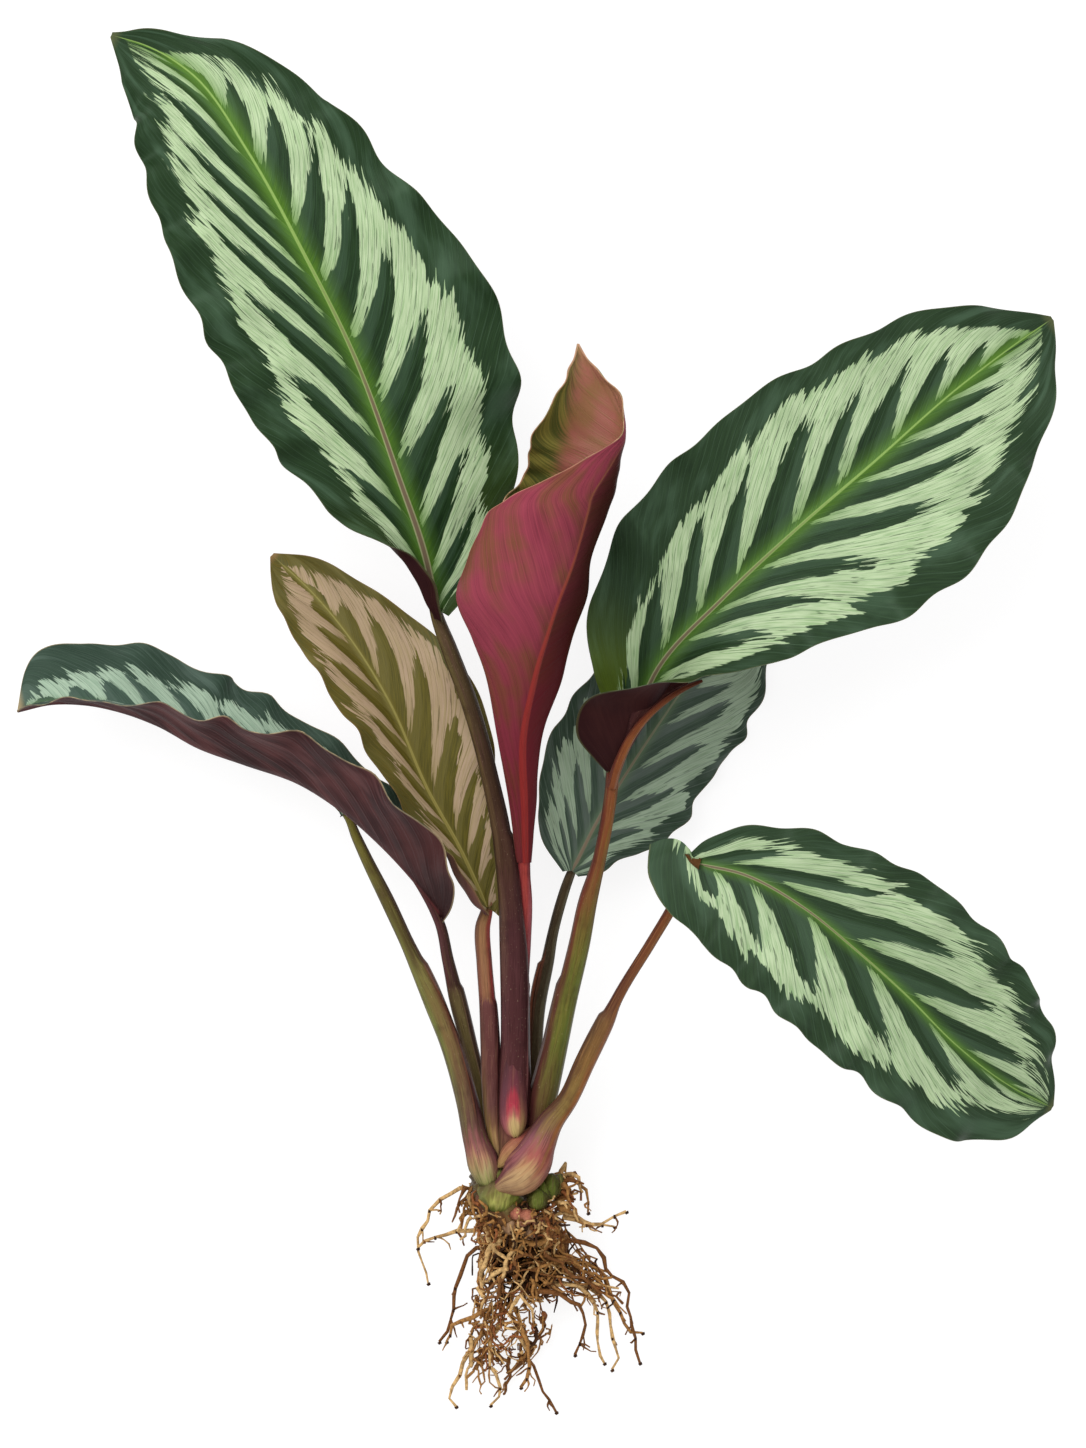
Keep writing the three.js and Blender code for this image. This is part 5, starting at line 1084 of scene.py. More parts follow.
def lower_side(name, palette, rib_widths=RIB_WIDTHS, shade=None):
    """A blade's underside: dark, with its veins showing lighter, painted shade in its fold troughs and painted
    highlights on its fold crests.

    rib_widths is a table of (place, half width of the midrib). shade, where given, is a table of
    (millimetres from the midrib, share of the darkest colour).
    """
    shader = Shader(name)
    stripe = shader.uv("veins")[0]
    grain = shader.uv("grain")
    place, from_rib = shader.uv("place")
    to_margin = shader.uv("edge")[1]
    hair = shader.streaks(grain, (1.6, 0.05), 3.0, 3.0)
    fold_shading = shader.streaks(grain, (0.11, 0.03), 8.0)
    vein = stripe.wave(2).soft(0.8, 1.0)
    mottled = shader.noise(shader.point(), 45.0, 3.0) * 0.7 + stripe.wave() * 0.05
    strength = 0.2 if shade else 0.7
    coats = [(mottled.soft(0.26, 0.48), palette.under_patch),
             (hair.soft(0.45, 0.75) * 0.3, palette.under_vein), (vein * 0.15, palette.under_vein),
             # Painted shade in the fold troughs and painted highlights on the fold crests, the latter in the
             # vein colour
             (fold_shading.soft(0.5, 0.3) * strength, palette.under_shade),
             (fold_shading.soft(0.56, 0.72) * (strength * 0.7), palette.under_vein)]
    if shade:
        coats += [(stripe.wave(6).soft(0.75, 1.0) * 0.3, PINK_LINES),
                  (shader.ramp(from_rib, shade), palette.under_shade),
                  (place.soft(0.4, 0.05) * 0.6, CRIMSON)]
    else:
        coats.append((place.soft(0.3, 0.0) * 0.6, palette.under_shade))
    rib = (abs(from_rib) - shader.ramp(place, rib_widths) * RIB_UNIT).soft(0.3, -0.3)
    rib_colour = shader.layers(palette.under_rib, (place.soft(0.1, 0.7), palette.under_patch))
    body = shader.layers(palette.under, *coats, (rib, rib_colour),
                         (to_margin.soft(0.9, 0.3) * 0.45, palette.margin))
    return shader.paint(body, hair * 0.5 + vein * 0.4, 0.00025, Roughness=0.5, Specular_IOR_Level=0.07,
                        Specular_Tint=WARM_SHINE)


def young_side(name, palette):
    """The rolled blade's inner side, olive to the left of its fold and dusky pink to the right."""
    shader = Shader(name)
    point = shader.point()
    x, y, _ = shader.split(point)
    hair = shader.streaks(shader.uv("grain"), (1.8, 0.05), detail=3.0)
    bands = shader.uv("veins")[0].wave()
    from_fold = x * (1 / MM) - (y * (FOLD_LEAN / MM) - FOLD_LEFT) + (hair - 0.5) * 14.0
    olive = shader.layers(palette.stripe, ((bands * 0.13 + hair).soft(0.35, 0.7), palette.pale))
    pink = shader.layers(DUSKY_PINK, (shader.noise(point, 60.0, 3.0).soft(0.4, 0.65), TAWNY),
                         (hair.soft(0.5, 0.7) * 0.5, DULL_OLIVE))
    body = shader.layers(olive, (from_fold.soft(-2.0, 5.0), pink),
                         (shader.uv("edge")[1].soft(0.9, 0.3) * 0.8, palette.margin))
    return shader.paint(body, hair, 0.0003, Roughness=0.42, Specular_IOR_Level=0.22)


def margin_side(name, palette):
    """The thin edge of a blade."""
    shader = Shader(name)
    grain = shader.noise(shader.point(), 300.0)
    body = shader.layers(palette.margin, (grain.soft(0.3, 0.7), palette.border))
    return shader.paint(body, Roughness=0.55)


def stem_surface(name, look, blur):
    """A petiole's skin: colours by height on its middle and sides, the sides partly painted shade, streaks,
    the sheath's edge with a painted crease shadow, and painted shade along both flanks.
    """
    shader = Shader(name)
    point = shader.point()
    height, turn = shader.uv("along")
    height = height * (1 / MM)
    sideways = shader.uv("round")[0]
    streaks = shader.streaks((turn, height), (22.0, 0.06), detail=3.0)
    fine = shader.streaks((turn, height), (70.0, 0.12), 5.0)
    dots = shader.streaks((turn, height), (130.0, 0.9), 9.0, 1.0)
    blotch = shader.noise(point, 110.0, 4.0)
    drift = (shader.noise(point, 60.0) - 0.5) * (12.0 * blur) + (streaks - 0.5) * (16.0 * blur)
    moved = height + drift + abs(sideways) * look.get("peak", 0.0)
    sway = sideways + (streaks - 0.5) * 0.7
    strength, streak_colour = look["streak"]
    # The side ramps are partly the stem's own colours and partly painted shade on the sides that turn away
    coats = [(sway.soft(-0.2, -0.75), shader.ramp(moved, look["left"])),
             (sway.soft(0.2, 0.75), shader.ramp(moved, look["right"])),
             (streaks.soft(0.5, 0.72) * strength, streak_colour),
             (fine.soft(0.48, 0.72) * 0.5, look["speck_and_shade"]), (blotch.soft(0.52, 0.75) * 0.35, look["speck_and_shade"]),
             (dots.soft(0.7, 0.78) * 0.4, PALE_DOTS)]
    if "edge" in look:
        low, high, edge_colour = look["edge"]
        there = height.soft(low - 4, low + 4) * height.soft(high + 1, high - 1)
        coats += [(there * (abs(turn + 0.012).soft(0.02, 0.005) * 0.6), CREASE_SHADOW),
                  (there * (abs(turn - 0.012).soft(0.022, 0.01) * 0.45), edge_colour)]
    # The last coat darkens both flanks in the speck colour: painted shade where the round stem turns away
    body = shader.layers(shader.ramp(moved, look["middle"]), *coats,
                         (abs(sway).soft(0.75, 1.05) * 0.65, look["speck_and_shade"]))
    return shader.paint(body, streaks + fine * 0.3, 0.0004, Roughness=0.36, Specular_IOR_Level=0.14,
                        Specular_Tint=WARM_SHINE)


COLOURS = {
    "border": "Dark border of the upper side",
    "border_streak": "Fine streaks in the border",
    "stripe": "Dark stripes between the pale bands",
    "stripe_streak": "Fine streaks in the dark stripes",
    "sheen": "Greyish sheen along one side of each dark stripe",
    "pale": "Pale bands",
    "pale_streak": "Fine streaks in the pale bands",
    "glow": "Bright green beside the midrib",
    "glow_streak": "Fine streaks in the bright green",
    "rib_base": "Midrib at the base",
    "rib": "Midrib on the lower half",
    "rib_tip": "Midrib on the upper half",
    "margin": "Dry rim of the margin",
    "under": "Underside",
    "under_patch": "Patches on the underside",
    # The vein colour also paints the highlights on the underside's fold crests
    "under_vein": "Veins on the underside",
    # The darkest colour paints the shade in the underside's fold troughs and on the rolled blade's right side,
    # and darkens the underside toward its base
    "under_shade": "Darkest part of the underside",
    "under_rib": "Midrib on the underside",
}


def swatches(*codes):
    """Colour properties from codes in the order of COLOURS."""
    return {key: bpy.props.FloatVectorProperty(
        name=key.replace("_", " ").capitalize(), description=description, subtype="COLOR", size=3, min=0,
        max=1, default=colour(code)[:3]) for (key, description), code in zip(COLOURS.items(), codes)}


def length(name, millimetres, description):
    return bpy.props.FloatProperty(
        name=name, description=description, unit="LENGTH", min=0, default=millimetres * MM)


class GreenBlade(bpy.types.PropertyGroup):
    """Colours of the grown green blades"""
    __annotations__ = swatches(
        0x24391f, 0x1a2c17, 0x12230f, 0x22391c, 0x425a44, 0xb8caa2, 0x8eac7a, 0x5c8624, 0x42681c,
        0x6c5c48, 0x8e9068, 0x84a254, 0x585c3a, 0x30181a, 0x3a1e1c, 0x4a2a26, 0x241012, 0x54381e)


class GreyGreenBlade(bpy.types.PropertyGroup):
    """Colours of the muted blades at the back"""
    __annotations__ = swatches(
        0x3a4a3c, 0x2c3a2e, 0x36443a, 0x465648, 0x6c7670, 0x9eb098, 0x869c80, 0x64785a, 0x54684c,
        0x7a6a58, 0x76705e, 0x7a7e66, 0x7a7258, 0x4a3634, 0x5a4642, 0x76605a, 0x3a2826, 0x7a6050)


class OliveBlade(bpy.types.PropertyGroup):
    """Colours of the olive blade"""
    __annotations__ = swatches(
        0x625420, 0x4c4a24, 0x4a4218, 0x62581e, 0x746a3a, 0xb0967e, 0xa28e68, 0x807434, 0x6c6228,
        0x8a7c40, 0x948a4a, 0x8a8044, 0x8a6a44, 0x845a50, 0x946a5e, 0xa07c6c, 0x3a2020, 0x8a6048)


class MaroonBlade(bpy.types.PropertyGroup):
    """Colours of the blade that droops with its underside turned up"""
    __annotations__ = swatches(
        0x34463a, 0x28382e, 0x34463c, 0x42564a, 0x56685e, 0xa4b8a2, 0x88a08a, 0x5c7a48, 0x4c683c,
        0x6a3c34, 0x7a5a4a, 0x7a7050, 0xa89470, 0x2e1618, 0x4c2a2a, 0x6a4444, 0x1c0a0a, 0x4c2424)


class PinkBlade(bpy.types.PropertyGroup):
    """Colours of the young rolled blade"""
    __annotations__ = swatches(
        0x6c6a2e, 0x565622, 0x4e5426, 0x62622c, 0x7a6e46, 0x86803c, 0x74702e, 0x7c7c38, 0x66682c,
        0x9a5a40, 0x9a6a4a, 0x8a6a44, 0xc89a7c, 0x8a3a49, 0x744634, 0x50202a, 0x2e0a0a, 0x842a28)


class PlantSizes(bpy.types.PropertyGroup):
    """Sizes of the finer forms, in the part's frame"""
    blade_thickness: length("Blade thickness", 0.45, "Thickness of a blade between its veins")
    rib_depth: length("Midrib depth", 1.7, "How far the midrib stands out under a blade at its base")
    vein_relief: length("Vein relief", 0.22, "Height of the quilting between a blade's side veins")
    margin_width: length("Margin width", 0.35, "Width of the dry rim along a blade's margin")
    sheath_step: length("Sheath step", 0.45, "How far a sheath's outer edge stands over its inner one")


SWATCHES = {
    "blade_green": GreenBlade, "blade_grey_green": GreyGreenBlade, "blade_olive": OliveBlade,
    "blade_maroon": MaroonBlade, "blade_pink": PinkBlade,
}


def settings_of(context, slot):
    """The sizes, and the colours of a blade's slot."""
    return context.scene.prayer_plant, getattr(context.scene, "prayer_plant_" + slot)


def build_scale(name, stations, look, sides=24):
    """A thin scale or a trim with fine ribs along it."""
    def swell(place, height, angle):
        return 0.1 * np.sin(angle * 7 + height * 0.1)

    return new_tube(name, sides, 60, stations, look, swell, blur=0.35)


def build_blade(context, leaf):
    """Replaces one open blade."""
    blade = BLADES[leaf]
    sizes, palette = settings_of(context, blade["slot"])

    def surface(place, side):
        return blade_points(leaf, place, side)

    def widths(half_name, place):
        return along(blade[half_name]["width"], place)

    sheet = Sheet(leaf, blade.get("grid", COARSE_GRID), surface, MIDRIBS[leaf].length, widths)
    ridge = 0.5 * smooth_step(2.2, 0.0, sheet.from_rib) * smooth_step(1.0, 0.5, sheet.place)
    rib = sizes.rib_depth / MM * smooth_step(2.6, 0.4, sheet.from_rib) * (1 - 0.8 * sheet.place)
    skin = sizes.blade_thickness / MM * (0.5 + 0.5 * smooth_step(1, 0.9, sheet.out))
    piece = sheet.finish(sheet.quilt(sizes.vein_relief / MM) + ridge, skin + rib + ridge, (
        upper_side("upper_" + leaf, palette, sizes.margin_width, blade["look"]),
        lower_side("under_" + leaf, palette), margin_side("margin_" + leaf, palette)))
    if leaf == "broad_right":
        join_into(piece, [build_scale("turned_rib", TURNED_RIB, TURNED_LOOK),
                          build_scale("turned_web", TURNED_WEB, WEB_LOOK)])
    dress(piece, blade["slot"], "blade_" + leaf)


ROLLED_GRID = (230, 110)
ROLLED_LENGTH = 200
ROLLED_RIB_WIDTHS = ((0.0, 0.75), (0.15, 0.6), (0.3, 0.35), (0.7, 0.15), (1.0, 0.05))
ROLLED_SHADE = ((-12.0, 0.0), (-4.0, 0.1), (0.0, 0.4), (1.5, 0.8), (7.0, 0.95), (14.0, 1.0))


def build_rolled_leaf(context):
    """Replaces the young blade, which is still rolled up."""
    sizes, palette = settings_of(context, "blade_pink")
    last = len(ROLLED_LEAF) - 1
    stations = [(i / last, ring[3:]) for i, ring in enumerate(ROLLED_LEAF)]

    def widths(half_name, place):
        half_width, half_depth, midrib, outer, inner = along(stations, place).T
        turn = midrib - outer if half_name == "left" else inner - midrib
        return np.radians(turn) * (half_width + half_depth) / 2

    sheet = Sheet("furled", ROLLED_GRID, rolled_points, ROLLED_LENGTH, widths)
    place = sheet.place
    ridge = 0.7 * smooth_step(1.1, 0.0, sheet.from_rib) * smooth_step(0.75, 0.2, place)
    ripple = (0.5 * sheet.out**3 * np.sin(place * 90)
              * smooth_step(0.3, 0.6, place) * smooth_step(1, 0.9, place))
    skin = sizes.blade_thickness / MM * (0.6 + 0.4 * smooth_step(1, 0.9, sheet.out))
    piece = sheet.finish(0.5 * sheet.quilt(sizes.vein_relief / MM) + ridge + ripple, skin + ridge, (
        lower_side("under_furled", palette, ROLLED_RIB_WIDTHS, ROLLED_SHADE),
        young_side("upper_furled", palette), margin_side("margin_furled", palette)))
    dress(piece, "blade_pink", "blade_furled")


def petiole_stations(name):
    """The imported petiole's stations, rounded off below, with an end that runs on into the blade's midrib."""
    petiole = PETIOLES[name]
    rows = list(petiole["stations"])
    *first, width, depth = rows[0]
    back = np.subtract(first, rows[1][:3])
    back = back / np.linalg.norm(back)
    for ahead, share in ((0.45, 0.87), (0.75, 0.6), (0.92, 0.2)):
        rows.insert(0, (*(first + back * ahead * width), share * width, share * depth))
    if name == "furled":
        return rows
    tip = petiole["tip"]
    under = (BLADE_THICKNESS + RIB_DEPTH + SEAT_GAP + petiole["drop"]
             + tip * math.cos(math.pi / PETIOLE_SIDES))
    for ahead, share, size in ((0, 0.45, 1), (5, 0.9, 0.85), (13, 1, 0.55), (24, 1, 0.15)):
        place = min(ahead / MIDRIBS[name].length, 1)
        here, _, facing = midrib_frame(name, np.array([place]))
        centre = here[0] - facing[0] * (under - (under - 0.5 - tip * size) * share)
        rows.append((*centre, tip * size, tip * size))
    return rows


def build_petiole(context, name):
    petiole = PETIOLES[name]
    top = petiole["top"]
    step = context.scene.prayer_plant.sheath_step / MM
    heights, slits = np.array(petiole["slit"], float).T

    def slit(height):
        return np.radians(np.interp(height, heights, slits))

    def swell(place, height, angle):
        turn = (angle - slit(height)) % TURN / TURN
        edge = step * (smooth_step(0.0, 0.015, turn) - smooth_step(0.0, 0.45, turn))
        edge = edge * smooth_step(top + 0.5, top - 0.5, height)
        shoulder = 0.7 * smooth_step(-0.2, 0.9, np.cos(angle - math.radians(petiole["shoulder"])))
        shoulder = (shoulder * smooth_step(top + 0.6, top - 1.2, height)
                    * smooth_step(top - 26, top - 3, height))
        ribs = 0.07 * np.sin(angle * 9 + height * 0.03) + 0.05 * np.sin(angle * 14 - height * 0.02)
        return edge + shoulder + ribs * smooth_step(0, 0.05, place) * smooth_step(1, 0.9, place)

    piece = new_tube("stem_" + name, 36, 170, petiole_stations(name), petiole["look"], swell, slit)
    smooth_by(60)
    dress(piece, petiole["slot"], "petiole_" + name)


def build_shoot_bud(context):
    wedge = build_scale("bud_wedge", WEDGE, WEDGE_LOOK)
    piece = build_scale("shoot_bud_scale", BUD_BASE, BUD_LOOK, sides=36)
    join_into(piece, [wedge])
    smooth_by(60)
    dress(piece, "bud", "shoot_bud")


def build_lump(index, centre, radius, taller, look):
    """One of the lumps on the crown."""
    reach = radius * taller * np.array((0.1, 1, 0.1))
    stations = [(*(centre + reach * math.sin(turn)), radius * math.cos(turn), radius * math.cos(turn))
                for turn in np.linspace(-1.5, 1.5, 9)]

    def swell(place, height, angle):
        return radius * (
            0.05 * np.sin(angle * 5 + index + place * 4) + 0.06 * np.sin(angle * 3 - place * 11 + index)
            + 0.05 * np.sin(angle * 8 + place * 19 + index)) * np.sin(place * math.pi)

    return new_tube(f"lump_{index}", 32, 28, stations, look, swell)


def build_rhizome(context):
    def swell(place, height, angle):
        return (0.6 * np.sin(angle * 5 + place * 9) + 0.4 * np.sin(angle * 9 - place * 23)
                + 0.35 * np.sin(place * 40)) * smooth_step(0, 0.1, place) * smooth_step(1, 0.9, place)

    lumps = [build_lump(index, *lump) for index, lump in enumerate(CROWN_LUMPS)]
    piece = new_tube("rhizome_crown", 40, 50, RHIZOME_BODY, RHIZOME_LOOK, swell)
    join_into(piece, lumps)
    smooth_by(60)
    dress(piece, "rhizome", "rhizome")


ROOT_COLOURS = (0xd6ae74, 0xa87842, 0x7a4e28, 0x382010, 0x905630)
LIGHT, TAN, BROWN, DARK, RED = range(5)
# The clump's outline by height up the plant, as (height, left, right, front)
ROOT_HULL = np.array((
    (-31, -18.5, -4, 7), (-26, -19, 1, 9), (-20, -18.5, 8, 12), (-14, -18, 11.5, 15), (-6, -15.5, 13, 19),
    (2, -14.5, 15, 23), (10, -14.5, 17, 26), (22, -14.5, 18, 29), (36, -13, 18, 31)), float).T
CLUMP_TOP = 37


def root_material(index, code):
    shader = Shader(f"root_{index}")
    point = shader.point()
    fine = shader.noise(point, 900.0)
    darker = [channel * 0.5 for channel in colour(code)[:3]]
    body = shader.layers(code, (fine.soft(0.35, 0.75), darker),
                         (shader.noise(point, 150.0).soft(0.5, 0.7) * 0.5, ROOT_SOIL))
    return shader.paint(body, fine, 0.0002, Roughness=0.75, Specular_IOR_Level=0.15)


def hull_at(height):
    """The clump's left, right and front at a height."""
    return [np.interp(height, ROOT_HULL[0], side) for side in ROOT_HULL[1:]]


def hold(point, radius, reach=1.0):
    """Brings a point back inside that share of the clump's width."""
    y = np.clip(point[1], ROOT_HULL[0, 0] - 4, CLUMP_TOP)
    low, high, near = hull_at(y)
    middle, half_width = (low + high) / 2, (high - low) / 2
    share = np.clip((point[0] - middle) / half_width, -reach, reach)
    near = max(near * (1 - 0.45 * share * share), radius + 0.4)
    return np.array((middle + share * half_width, y, np.clip(point[2], radius + 0.2, near)))


def wander(start, heading, count, step, wobble, random, radius=0.5, held=True):
    """A crooked path that turns a little at every step."""
    reach = random.uniform(0.75, 1.12)
    points = [np.array(start, float)]
    heading = np.array(heading, float)
    for _ in range(count):
        heading = heading / np.linalg.norm(heading) + random.normal(size=3) * wobble
        heading[1] -= 0.12
        point = points[-1] + heading / np.linalg.norm(heading) * step * random.uniform(0.7, 1.3)
        points.append(hold(point, radius, reach) if held else point)
    return np.array(points)


def crooked(points, step, stray, random):
    """A path through the points with a bend every step millimetres, each strayed at random."""
    curve = Curve(points)
    count = max(int(curve.length / step), 3)
    path = curve.read(np.linspace(0, 1, count + 1))[0]
    shift = random.normal(size=path.shape) * stray
    shift[0] = 0
    return path + shift


def add_strand(strands, path, thick, thin, shade, random):
    """Adds a root that thins along its path, with knots at random."""
    radii = np.linspace(thick, thin, len(path)) * random.uniform(0.75, 1.3, len(path))
    strands.append((path, radii, shade))


def hull_point(random, low, high, depth):
    """A random point of the clump between two heights, at that share of its depth."""
    y = random.uniform(low, high)
    left, right, front = hull_at(y)
    return hold((random.uniform(left, right), y, depth * front), 0.4)


def clump_strands(strands, random):
    # Dark strands deep in the upper clump: painted shade inside the root mass
    for _ in range(80):
        start = hull_point(random, 14, 35, random.uniform(0.25, 0.6))
        start[0] = 2 + 0.6 * start[0]
        add_strand(strands, wander(start, (0, -1, 0), 5, 3, 0.4, random), 1.3, 0.9, DARK, random)
    for _ in range(520):
        depth = random.uniform(0.45, 1.0)
        start = hull_point(random, -24, 36, depth)
        if random.random() > 0.45 + 0.55 * smooth_step(-25, 15, start[1]):
            continue
        heading = random.normal(size=3) * (1, 1, 0.4) + (0, -0.7, 0)
        size = random.choice((0.3, 0.42, 0.6, 0.85), p=(0.3, 0.35, 0.25, 0.1))
        shade = random.choice((LIGHT, TAN, BROWN, DARK, RED), p=(0.2, 0.38, 0.24, 0.06, 0.12))
        # Strands deep in the clump take darker colours: painted shade inside the root mass
        if depth < 0.65:
            shade = random.choice((DARK, BROWN)) if start[1] > 4 else random.choice((TAN, BROWN))
        path = wander(start, heading, random.integers(3, 9), 2.4, 0.5, random, size)
        add_strand(strands, path, size, size * 0.6, shade, random)
    for x in (-11, -8.5, -5, -1.5, 0.5, 3, 6.5, 9.5, 12.5, 14):
        start = (x, 34 - abs(x) * 0.2, 30 - 0.06 * x * x)
        path = wander(start, (random.normal() * 0.2, -1, 0), random.integers(10, 20), 2.3, 0.32, random, 1)
        add_strand(strands, path, random.uniform(1.0, 1.6), 0.5, random.choice((LIGHT, TAN, BROWN)), random)
    for _ in range(130):
        start = random.uniform((-15, 26, 29), (17, 38, 34.5))
        heading = random.normal(size=3) * (1, 0.6, 0.1) + (0, -0.5, 0)
        path = wander(start, heading, random.integers(3, 7), 1.5, 0.5, random, held=False)
        shade = random.choice((LIGHT, TAN, BROWN, DARK, RED), p=(0.2, 0.3, 0.25, 0.15, 0.1))
        add_strand(strands, path, random.uniform(0.3, 0.8), 0.3, shade, random)


def net_strands(strands, random):
    """The open net of fine roots at the right, tied together by short strands."""
    joints = []
    for _ in range(34):
        start = random.uniform((8, 4, 14), (17, 33, 26))
        end = np.array((random.uniform(20, 42), 0, random.uniform(9, 16)))
        end[1] = random.uniform(-5, 25 - 1.05 * (end[0] - 22))
        rise = (*random.uniform((-1, -2), (2, 3)), 0)
        path = crooked((start, start * 0.55 + end * 0.45 + rise, end), 3.2, 0.7, random)
        size = random.choice((0.35, 0.5, 0.75), p=(0.4, 0.4, 0.2))
        add_strand(strands, path, size, size * 0.6, random.choice((LIGHT, TAN, TAN, BROWN)), random)
        joints.extend(path[2:])
    joints = np.array(joints)
    for _ in range(90):
        start = joints[random.integers(len(joints))]
        gaps = np.linalg.norm(joints - start, axis=1)
        near = joints[(gaps > 2.5) & (gaps < 7)]
        if len(near):
            end = near[random.integers(len(near))]
            path = crooked((start, (start + end) / 2 + random.normal(size=3) * 0.5, end), 2, 0.2, random)
            add_strand(strands, path, 0.4, 0.35, random.choice((TAN, BROWN, DARK, RED)), random)


def long_strands(strands, random):
    """The long loose roots, each with a dark tip, knobs and side roots."""
    for index, points in enumerate(LONG_ROOTS):
        path = crooked(np.array(points, float), 4.4, 0.45, random)
        shade = (LIGHT, LIGHT, BROWN, TAN)[index % 4]
        add_strand(strands, path, 0.9, 0.5, shade, random)
        strands.append((np.array((path[-1], path[-1] + (0.5, -0.9, 0))), np.array((0.85, 0.6)), DARK))
        for _ in range(3):
            at = random.integers(len(path) // 3, len(path) - 1)
            knob = np.array((path[at] - (0.4, 0.3, 0), path[at] + (0.4, -0.3, 0.1)))
            strands.append((knob, np.array((0.85, 0.75)), random.choice((DARK, BROWN))))
            heading = (random.normal(), -0.8, 0)
            path_out = wander(path[at], heading, random.integers(2, 5), 2, 0.5, random, held=False)
            add_strand(strands, path_out, 0.4, 0.25, random.choice((shade, BROWN)), random)


def remains(strands, random):
    """Dry remains of old sheaths beside the crown, and the thin roots that hug it."""
    for _ in range(34):
        start = random.uniform((14, 34, 22), (18, 47, 30))
        end = start + random.uniform((1, -9, -2), (9, 4, 3))
        middle = (start + end) / 2 + (*random.uniform((-1, 0), (3, 4)), 1)
        add_strand(strands, crooked((start, middle, end), 2.4, 0.5, random), random.uniform(0.5, 1.3), 0.4,
                   random.choice((LIGHT, TAN, RED, BROWN)), random)
    for _ in range(16):
        start = random.uniform((-18, 32, 22), (-14, 44, 28))
        end = start + random.uniform((-6, -12, -2), (2, 2, 3))
        middle = (start + end) / 2 + (-1, 1, 1)
        add_strand(strands, crooked((start, middle, end), 2.4, 0.5, random), 0.7, 0.35,
                   random.choice((LIGHT, TAN, BROWN)), random)


def build_roots(context):
    random = np.random.default_rng(5)
    strands = []
    for grow in (clump_strands, net_strands, long_strands, remains):
        grow(strands, random)
    deselect()
    bpy.ops.curve.primitive_bezier_curve_add()
    piece = name_piece("root_mass")
    curve = piece.data
    curve.splines.clear()
    curve.dimensions = "3D"
    curve.fill_mode = "FULL"
    curve.bevel_depth = MM
    curve.bevel_resolution = 1
    curve.use_fill_caps = True
    for index, code in enumerate(ROOT_COLOURS):
        curve.materials.append(root_material(index, code))
    for path, radii, shade in strands:
        path[:, 2] = np.maximum(path[:, 2], radii + 0.2)
        spline = curve.splines.new("POLY")
        spline.points.add(len(path) - 1)
        spline.points.foreach_set("co", np.column_stack([path * MM, np.ones(len(path))]).ravel())
        spline.points.foreach_set("radius", radii)
        spline.material_index = int(shade)
    bpy.ops.object.convert(target="MESH")
    bpy.ops.object.shade_smooth()
    dress(piece, "root", "roots")


def build_stage(context):
    scene = context.scene
    deselect()
    bpy.ops.mesh.primitive_plane_add(size=6)
    floor = name_piece("floor")
    floor.data.materials.append(Shader("paper_white").paint(
        PAPER, Roughness=0.9, Specular_IOR_Level=0.0, Emission_Color=1.0, Emission_Strength=0.82))
    scene.world = bpy.data.worlds.new("studio")
    scene.world.use_nodes = True
    background = scene.world.node_tree.nodes["Background"]
    background.inputs["Color"].default_value = (1, 1, 1, 1)
    background.inputs["Strength"].default_value = 0.85
    bpy.ops.object.light_add(type="AREA")
    light = bpy.context.object
    light.name = "softbox"
    light.data.shape = "DISK"
    light.data.size = 2.2
    light.data.energy = 36
    light.location = (-0.9, 1.3, 2.0)
    light.rotation_mode = "QUATERNION"
    light.rotation_quaternion = (Vector((0.0, 0.2, 0.0)) - light.location).to_track_quat("-Z", "Y")
    bpy.ops.object.camera_add(location=(0.0105, 0.216, 5.0), rotation=(0, 0, 0))
    camera = bpy.context.object
    camera.name = "camera"
    camera.data.sensor_width = 36
    camera.data.lens = 331.5
    camera.data.clip_start = 0.1
    camera.data.clip_end = 50
    scene.camera = camera
    scene.view_settings.view_transform = "Standard"


class PRAYERPLANT_OT_stage(bpy.types.Operator):
    """Add the pale surface, the light and the camera"""
    bl_idname = "prayer_plant.stage"
    bl_label = "Stage"

    def execute(self, context):
        build_stage(context)
        return {"FINISHED"}


class PRAYERPLANT_OT_open_blades(bpy.types.Operator):
    """Build the seven open blades"""
    bl_idname = "prayer_plant.open_blades"
    bl_label = "Open blades"

    def execute(self, context):
        for leaf in BLADES:
            build_blade(context, leaf)
        return {"FINISHED"}


class PRAYERPLANT_OT_rolled_leaf(bpy.types.Operator):
    """Build the young rolled blade"""
    bl_idname = "prayer_plant.rolled_leaf"
    bl_label = "Rolled blade"

    def execute(self, context):
        build_rolled_leaf(context)
        return {"FINISHED"}


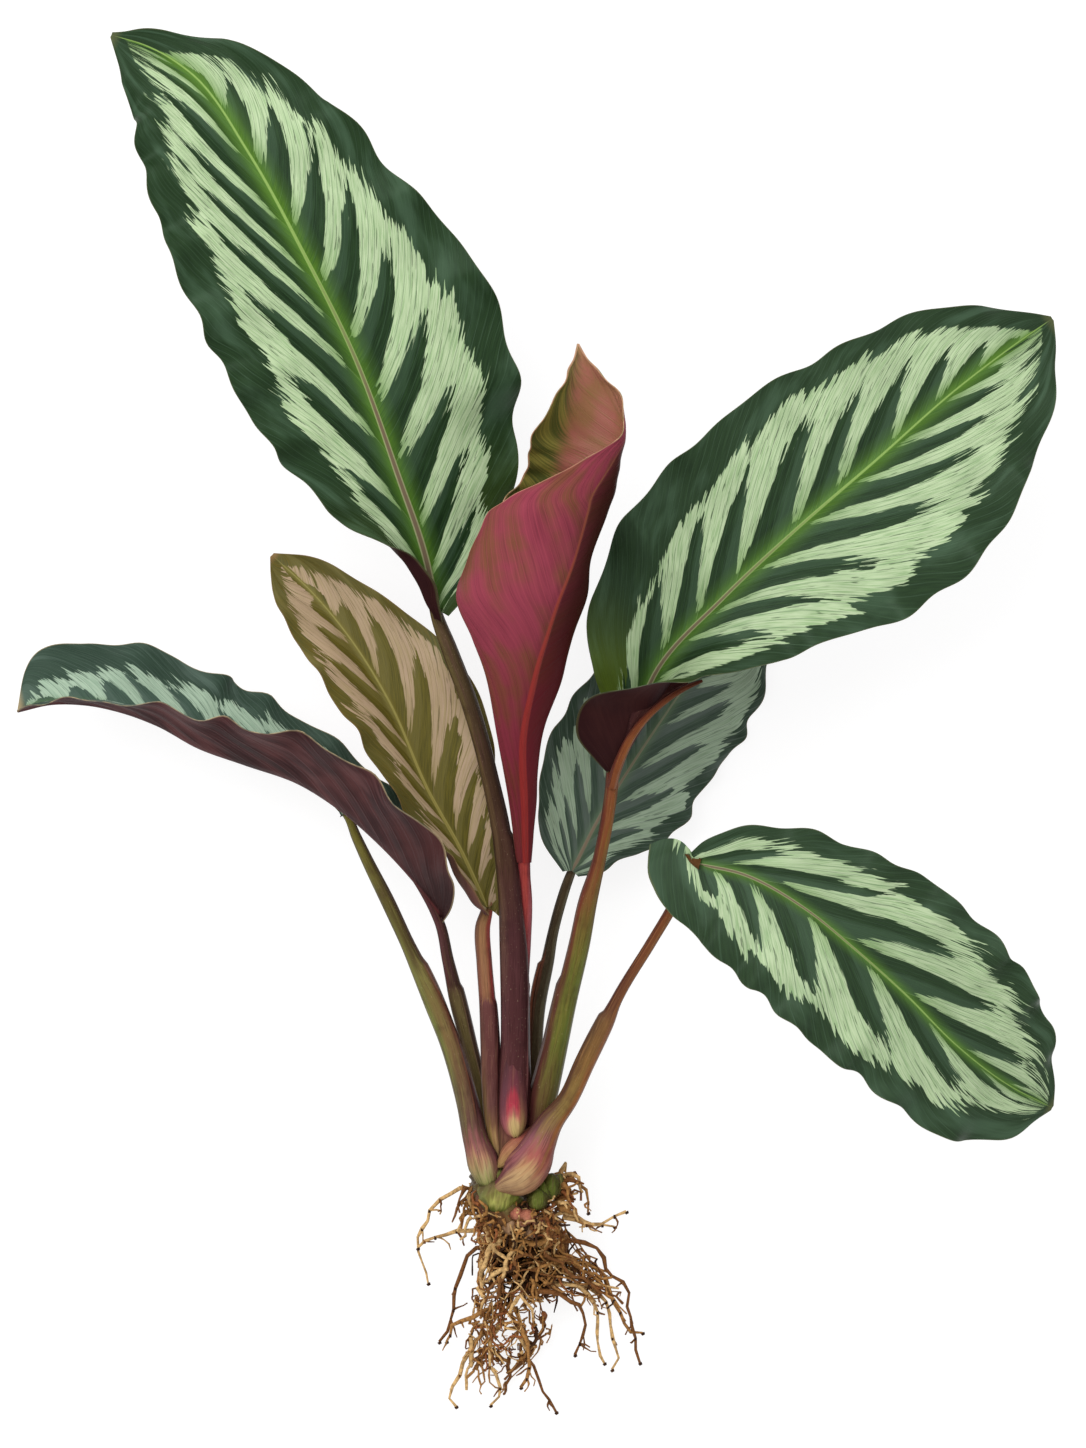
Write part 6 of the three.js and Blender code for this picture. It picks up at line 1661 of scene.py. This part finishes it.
class PRAYERPLANT_OT_petioles(bpy.types.Operator):
    """Build the eight petioles with their sheaths"""
    bl_idname = "prayer_plant.petioles"
    bl_label = "Petioles"

    def execute(self, context):
        for name in PETIOLES:
            build_petiole(context, name)
        return {"FINISHED"}


class PRAYERPLANT_OT_shoot_bud(bpy.types.Operator):
    """Build the young shoot between the sheaths"""
    bl_idname = "prayer_plant.shoot_bud"
    bl_label = "Shoot bud"

    def execute(self, context):
        build_shoot_bud(context)
        return {"FINISHED"}


class PRAYERPLANT_OT_rhizome(bpy.types.Operator):
    """Build the crown of the rhizome with its buds"""
    bl_idname = "prayer_plant.rhizome"
    bl_label = "Rhizome"

    def execute(self, context):
        build_rhizome(context)
        return {"FINISHED"}


class PRAYERPLANT_OT_roots(bpy.types.Operator):
    """Build the tangled roots"""
    bl_idname = "prayer_plant.roots"
    bl_label = "Roots"

    def execute(self, context):
        build_roots(context)
        return {"FINISHED"}


OPERATORS = (
    PRAYERPLANT_OT_stage, PRAYERPLANT_OT_open_blades, PRAYERPLANT_OT_rolled_leaf, PRAYERPLANT_OT_petioles,
    PRAYERPLANT_OT_shoot_bud, PRAYERPLANT_OT_rhizome, PRAYERPLANT_OT_roots,
)


class PRAYERPLANT_PT_panel(bpy.types.Panel):
    """Lists the plant's pieces"""
    bl_label = "Prayer Plant"
    bl_space_type = "VIEW_3D"
    bl_region_type = "UI"
    bl_category = "Prayer Plant"

    def draw(self, context):
        for operator in OPERATORS:
            self.layout.operator(operator.bl_idname)


CLASSES = (PlantSizes, *SWATCHES.values(), *OPERATORS, PRAYERPLANT_PT_panel)


def register():
    for entry in CLASSES:
        bpy.utils.register_class(entry)
    bpy.types.Scene.prayer_plant = bpy.props.PointerProperty(type=PlantSizes)
    for slot, group in SWATCHES.items():
        setattr(bpy.types.Scene, "prayer_plant_" + slot, bpy.props.PointerProperty(type=group))


def unregister():
    for slot in SWATCHES:
        delattr(bpy.types.Scene, "prayer_plant_" + slot)
    del bpy.types.Scene.prayer_plant
    for entry in reversed(CLASSES):
        bpy.utils.unregister_class(entry)


def main():
    register()
    for operator in OPERATORS:
        getattr(bpy.ops.prayer_plant, operator.bl_idname.split(".")[1])()


if __name__ == "__main__":
    main()
